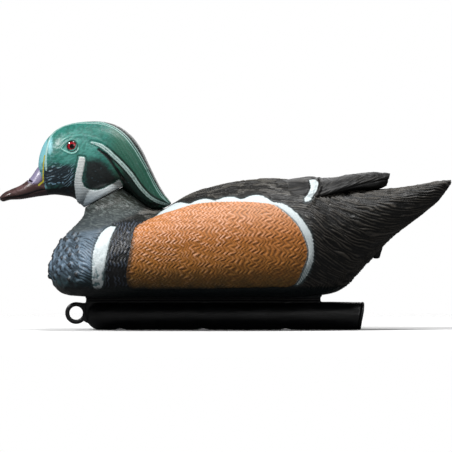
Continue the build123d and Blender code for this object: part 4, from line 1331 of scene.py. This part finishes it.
def turned_ring(name, profile, centre, facets):
    """A turned piece; a profile that ends where it starts is closed through its bore."""
    if profile[0] != profile[-1]:
        return turned(name, profile, centre, 36, facets)
    ring = turned(name, profile[:-1], centre, 36, facets)
    form = bmesh.new()
    form.from_mesh(ring.data)
    ends = [face for face in form.faces if len(face.verts) > 4]
    loops = [list(face.edges) for face in ends]
    bmesh.ops.delete(form, geom=ends, context="FACES_ONLY")
    bmesh.ops.bridge_loops(form, edges=[edge for loop in loops for edge in loop])
    bmesh.ops.recalc_face_normals(form, faces=form.faces)
    form.to_mesh(ring.data)
    form.free()
    return ring


def build_vent_plug(material):
    """The domed rubber plug pushed up into the spout."""
    plug = turned("vent_plug", [
        (0.05, 0.0), (1.0, 0.04), (1.9, 0.25), (2.6, 0.65), (3.0, 1.1), (3.1, 1.4), (1.55, 1.45),
        (1.5, 8.0), (1.1, 8.38), (0.05, 8.4),
    ], (PLUG[0], PLUG[1], PLUG_LOW[2]), 36)
    finish_piece(plug, material, "body", ["tail_vent_plug"])


def dress_fittings(materials):
    """Finishes for the pieces that are shown as the frame has them."""
    for node, finish in {
        "neck_collar": "acetal_machined", "neck_spigot": "acetal_machined",
        "neck_o_ring": "nitrile_rubber_moulded", "neck_washer": "stainless_steel_turned",
        "neck_screw": "stainless_steel_turned", "keel_gasket": "closed_cell_foam",
        "keel_ballast": "sand_and_cement",
    }.items():
        for place in frame["nodes"][node].material_slots:
            place.material = materials[finish]


# ---------------------------------------------------------------- stage
def stage_floor():
    """A pale card floor that fades out round the decoy. To all but the camera it is mid grey, so that it
    throws only a little light back up under the black keel."""
    radius, below_keel, corners_round = 0.9, 0.0002, 96
    material, tree = new_material("pale_card_floor")
    place = add(tree, "ShaderNodeTexCoord").outputs["Object"]
    away = add(tree, "ShaderNodeVectorMath", {0: place}, operation="LENGTH").outputs["Value"]
    fade = add(tree, "ShaderNodeMapRange", {
        "Value": away, "From Min": 0.3, "From Max": 0.85, "To Min": 1.0, "To Max": 0.0,
    }, interpolation_type="SMOOTHSTEP").outputs[0]
    seen = add(tree, "ShaderNodeLightPath").outputs["Is Camera Ray"]
    card = coat(tree, "#565656", "#fbfbfb", seen)
    shader = add(tree, "ShaderNodeBsdfPrincipled", {"Base Color": card, "Roughness": 0.9, "Alpha": fade})
    add(tree, "ShaderNodeOutputMaterial", {"Surface": shader.outputs[0]})
    angle = np.linspace(0, 2 * math.pi, corners_round, endpoint=False)
    mesh = bpy.data.meshes.new("floor")
    ring = np.stack([radius * np.cos(angle), radius * np.sin(angle), 0 * angle - below_keel], axis=1)
    mesh.from_pydata(ring.tolist(), [], [list(range(corners_round))])
    mesh.materials.append(material)
    return link("floor", mesh)


def soft_light(name, place, size, watts, aim=(0, 0, 0.08)):
    """A square soft light that faces the decoy."""
    light = bpy.data.lights.new(name, "AREA")
    light.shape, light.size, light.energy = "SQUARE", size, watts
    lamp = bpy.data.objects.new(name, light)
    lamp.location = place
    lamp.rotation_euler = (Vector(aim) - Vector(place)).to_track_quat("-Z", "Y").to_euler()
    bpy.context.scene.collection.objects.link(lamp)
    return lamp


def white_room():
    """A background that is white to the camera and gives only a weak light from all round."""
    world = bpy.data.worlds.new("white room")
    world.use_nodes = True
    tree = world.node_tree
    tree.nodes.clear()
    seen = add(tree, "ShaderNodeLightPath").outputs["Is Camera Ray"]
    strength = add(tree, "ShaderNodeMapRange", {"Value": seen, "To Min": 0.09, "To Max": 1.0})
    glow = add(tree, "ShaderNodeBackground", {"Color": (1, 1, 1, 1), "Strength": strength.outputs[0]})
    add(tree, "ShaderNodeOutputWorld", {"Surface": glow.outputs[0]})
    bpy.context.scene.world = world


def long_lens_camera():
    """A side-on camera that stands well back, so the decoy shows almost without perspective."""
    lens, sensor, across, clip = 400.0, 36.0, 0.3616, 20
    middle, height = 0.0004, 0.083
    camera = bpy.data.objects.new("camera", bpy.data.cameras.new("camera"))
    camera.data.lens, camera.data.sensor_width = lens, sensor
    camera.data.clip_end = clip
    camera.location = (middle, -across * lens / sensor, height)
    camera.rotation_euler = (math.pi / 2, 0, 0)
    bpy.context.scene.collection.objects.link(camera)
    bpy.context.scene.camera = camera


# ---------------------------------------------------------------- operators and panel
class DECOY_OT_body(bpy.types.Operator):
    """Builds the two carved halves of the body and the land under its belly."""
    bl_idname = "decoy.body"
    bl_label = "Body"

    def execute(self, context):
        build_body(context.scene.decoy_sizes, context.scene.decoy_colours)
        return {"FINISHED"}


class DECOY_OT_wing_tips(bpy.types.Operator):
    """Builds the folded wing tips."""
    bl_idname = "decoy.wing_tips"
    bl_label = "Wing tips"

    def execute(self, context):
        build_wing_tips(context.scene.decoy_colours)
        return {"FINISHED"}


class DECOY_OT_vent_spout(bpy.types.Operator):
    """Builds the spout under the tail."""
    bl_idname = "decoy.vent_spout"
    bl_label = "Vent spout"

    def execute(self, context):
        build_vent_spout(context.scene.decoy_colours)
        return {"FINISHED"}


class DECOY_OT_head(bpy.types.Operator):
    """Builds the carved and painted head."""
    bl_idname = "decoy.head"
    bl_label = "Head"

    def execute(self, context):
        build_head(context.scene.decoy_sizes, context.scene.decoy_colours)
        return {"FINISHED"}


class DECOY_OT_bill(bpy.types.Operator):
    """Builds the bill."""
    bl_idname = "decoy.bill"
    bl_label = "Bill"

    def execute(self, context):
        build_bill(context.scene.decoy_sizes, context.scene.decoy_colours)
        return {"FINISHED"}


class DECOY_OT_eyes(bpy.types.Operator):
    """Builds the two glossy eyes."""
    bl_idname = "decoy.eyes"
    bl_label = "Eyes"

    def execute(self, context):
        build_eyes()
        return {"FINISHED"}


class DECOY_OT_keel(bpy.types.Operator):
    """Builds the moulded keel and its cap."""
    bl_idname = "decoy.keel"
    bl_label = "Keel"

    def execute(self, context):
        build_keel(context.scene.decoy_colours)
        return {"FINISHED"}


class DECOY_OT_fasteners(bpy.types.Operator):
    """Builds the keel's fasteners and the vent plug, and finishes the plain fittings."""
    bl_idname = "decoy.fasteners"
    bl_label = "Fasteners and fittings"

    def execute(self, context):
        materials = plain_materials()
        build_keel_fasteners(materials)
        build_vent_plug(materials["nitrile_rubber_moulded"])
        dress_fittings(materials)
        return {"FINISHED"}


class DECOY_OT_stage(bpy.types.Operator):
    """Sets up the floor, the lights, the white room and the camera."""
    bl_idname = "decoy.stage"
    bl_label = "Stage"

    def execute(self, context):
        lights = [
            soft_light("key light", (-1.5, -1.3, 1.7), 0.35, 62),
            soft_light("fill light", (0.9, -2.0, 0.9), 1.2, 6),
            soft_light("top light", (0.4, -0.4, 1.9), 0.8, 24),
            soft_light("back light", (0.5, 2.2, 1.0), 1.4, 12),
        ]
        stage_floor()
        white_room()
        long_lens_camera()
        context.scene.view_settings.view_transform = "Standard"
        return {"FINISHED"}


OPERATORS = (
    DECOY_OT_body, DECOY_OT_wing_tips, DECOY_OT_vent_spout, DECOY_OT_head, DECOY_OT_bill,
    DECOY_OT_eyes, DECOY_OT_keel, DECOY_OT_fasteners, DECOY_OT_stage,
)


class DECOY_PT_panel(bpy.types.Panel):
    """Lists the decoy's operators."""
    bl_idname = "DECOY_PT_panel"
    bl_label = "Duck decoy"
    bl_space_type = "VIEW_3D"
    bl_region_type = "UI"
    bl_category = "Decoy"

    def draw(self, context):
        for operator in OPERATORS:
            self.layout.operator(operator.bl_idname)


CLASSES = (DecoySizes, DecoyColours, *OPERATORS, DECOY_PT_panel)


def register():
    """Registers the classes and gives the scene its sizes and colours."""
    for made in CLASSES:
        bpy.utils.register_class(made)
    bpy.types.Scene.decoy_sizes = bpy.props.PointerProperty(type=DecoySizes)
    bpy.types.Scene.decoy_colours = bpy.props.PointerProperty(type=DecoyColours)


def unregister():
    """Takes the sizes, colours and classes away again."""
    del bpy.types.Scene.decoy_colours
    del bpy.types.Scene.decoy_sizes
    for made in reversed(CLASSES):
        bpy.utils.unregister_class(made)


def main():
    """Builds everything."""
    register()
    for operator in OPERATORS:
        group, name = operator.bl_idname.split(".")
        getattr(getattr(bpy.ops, group), name)()


if __name__ == "__main__":
    main()
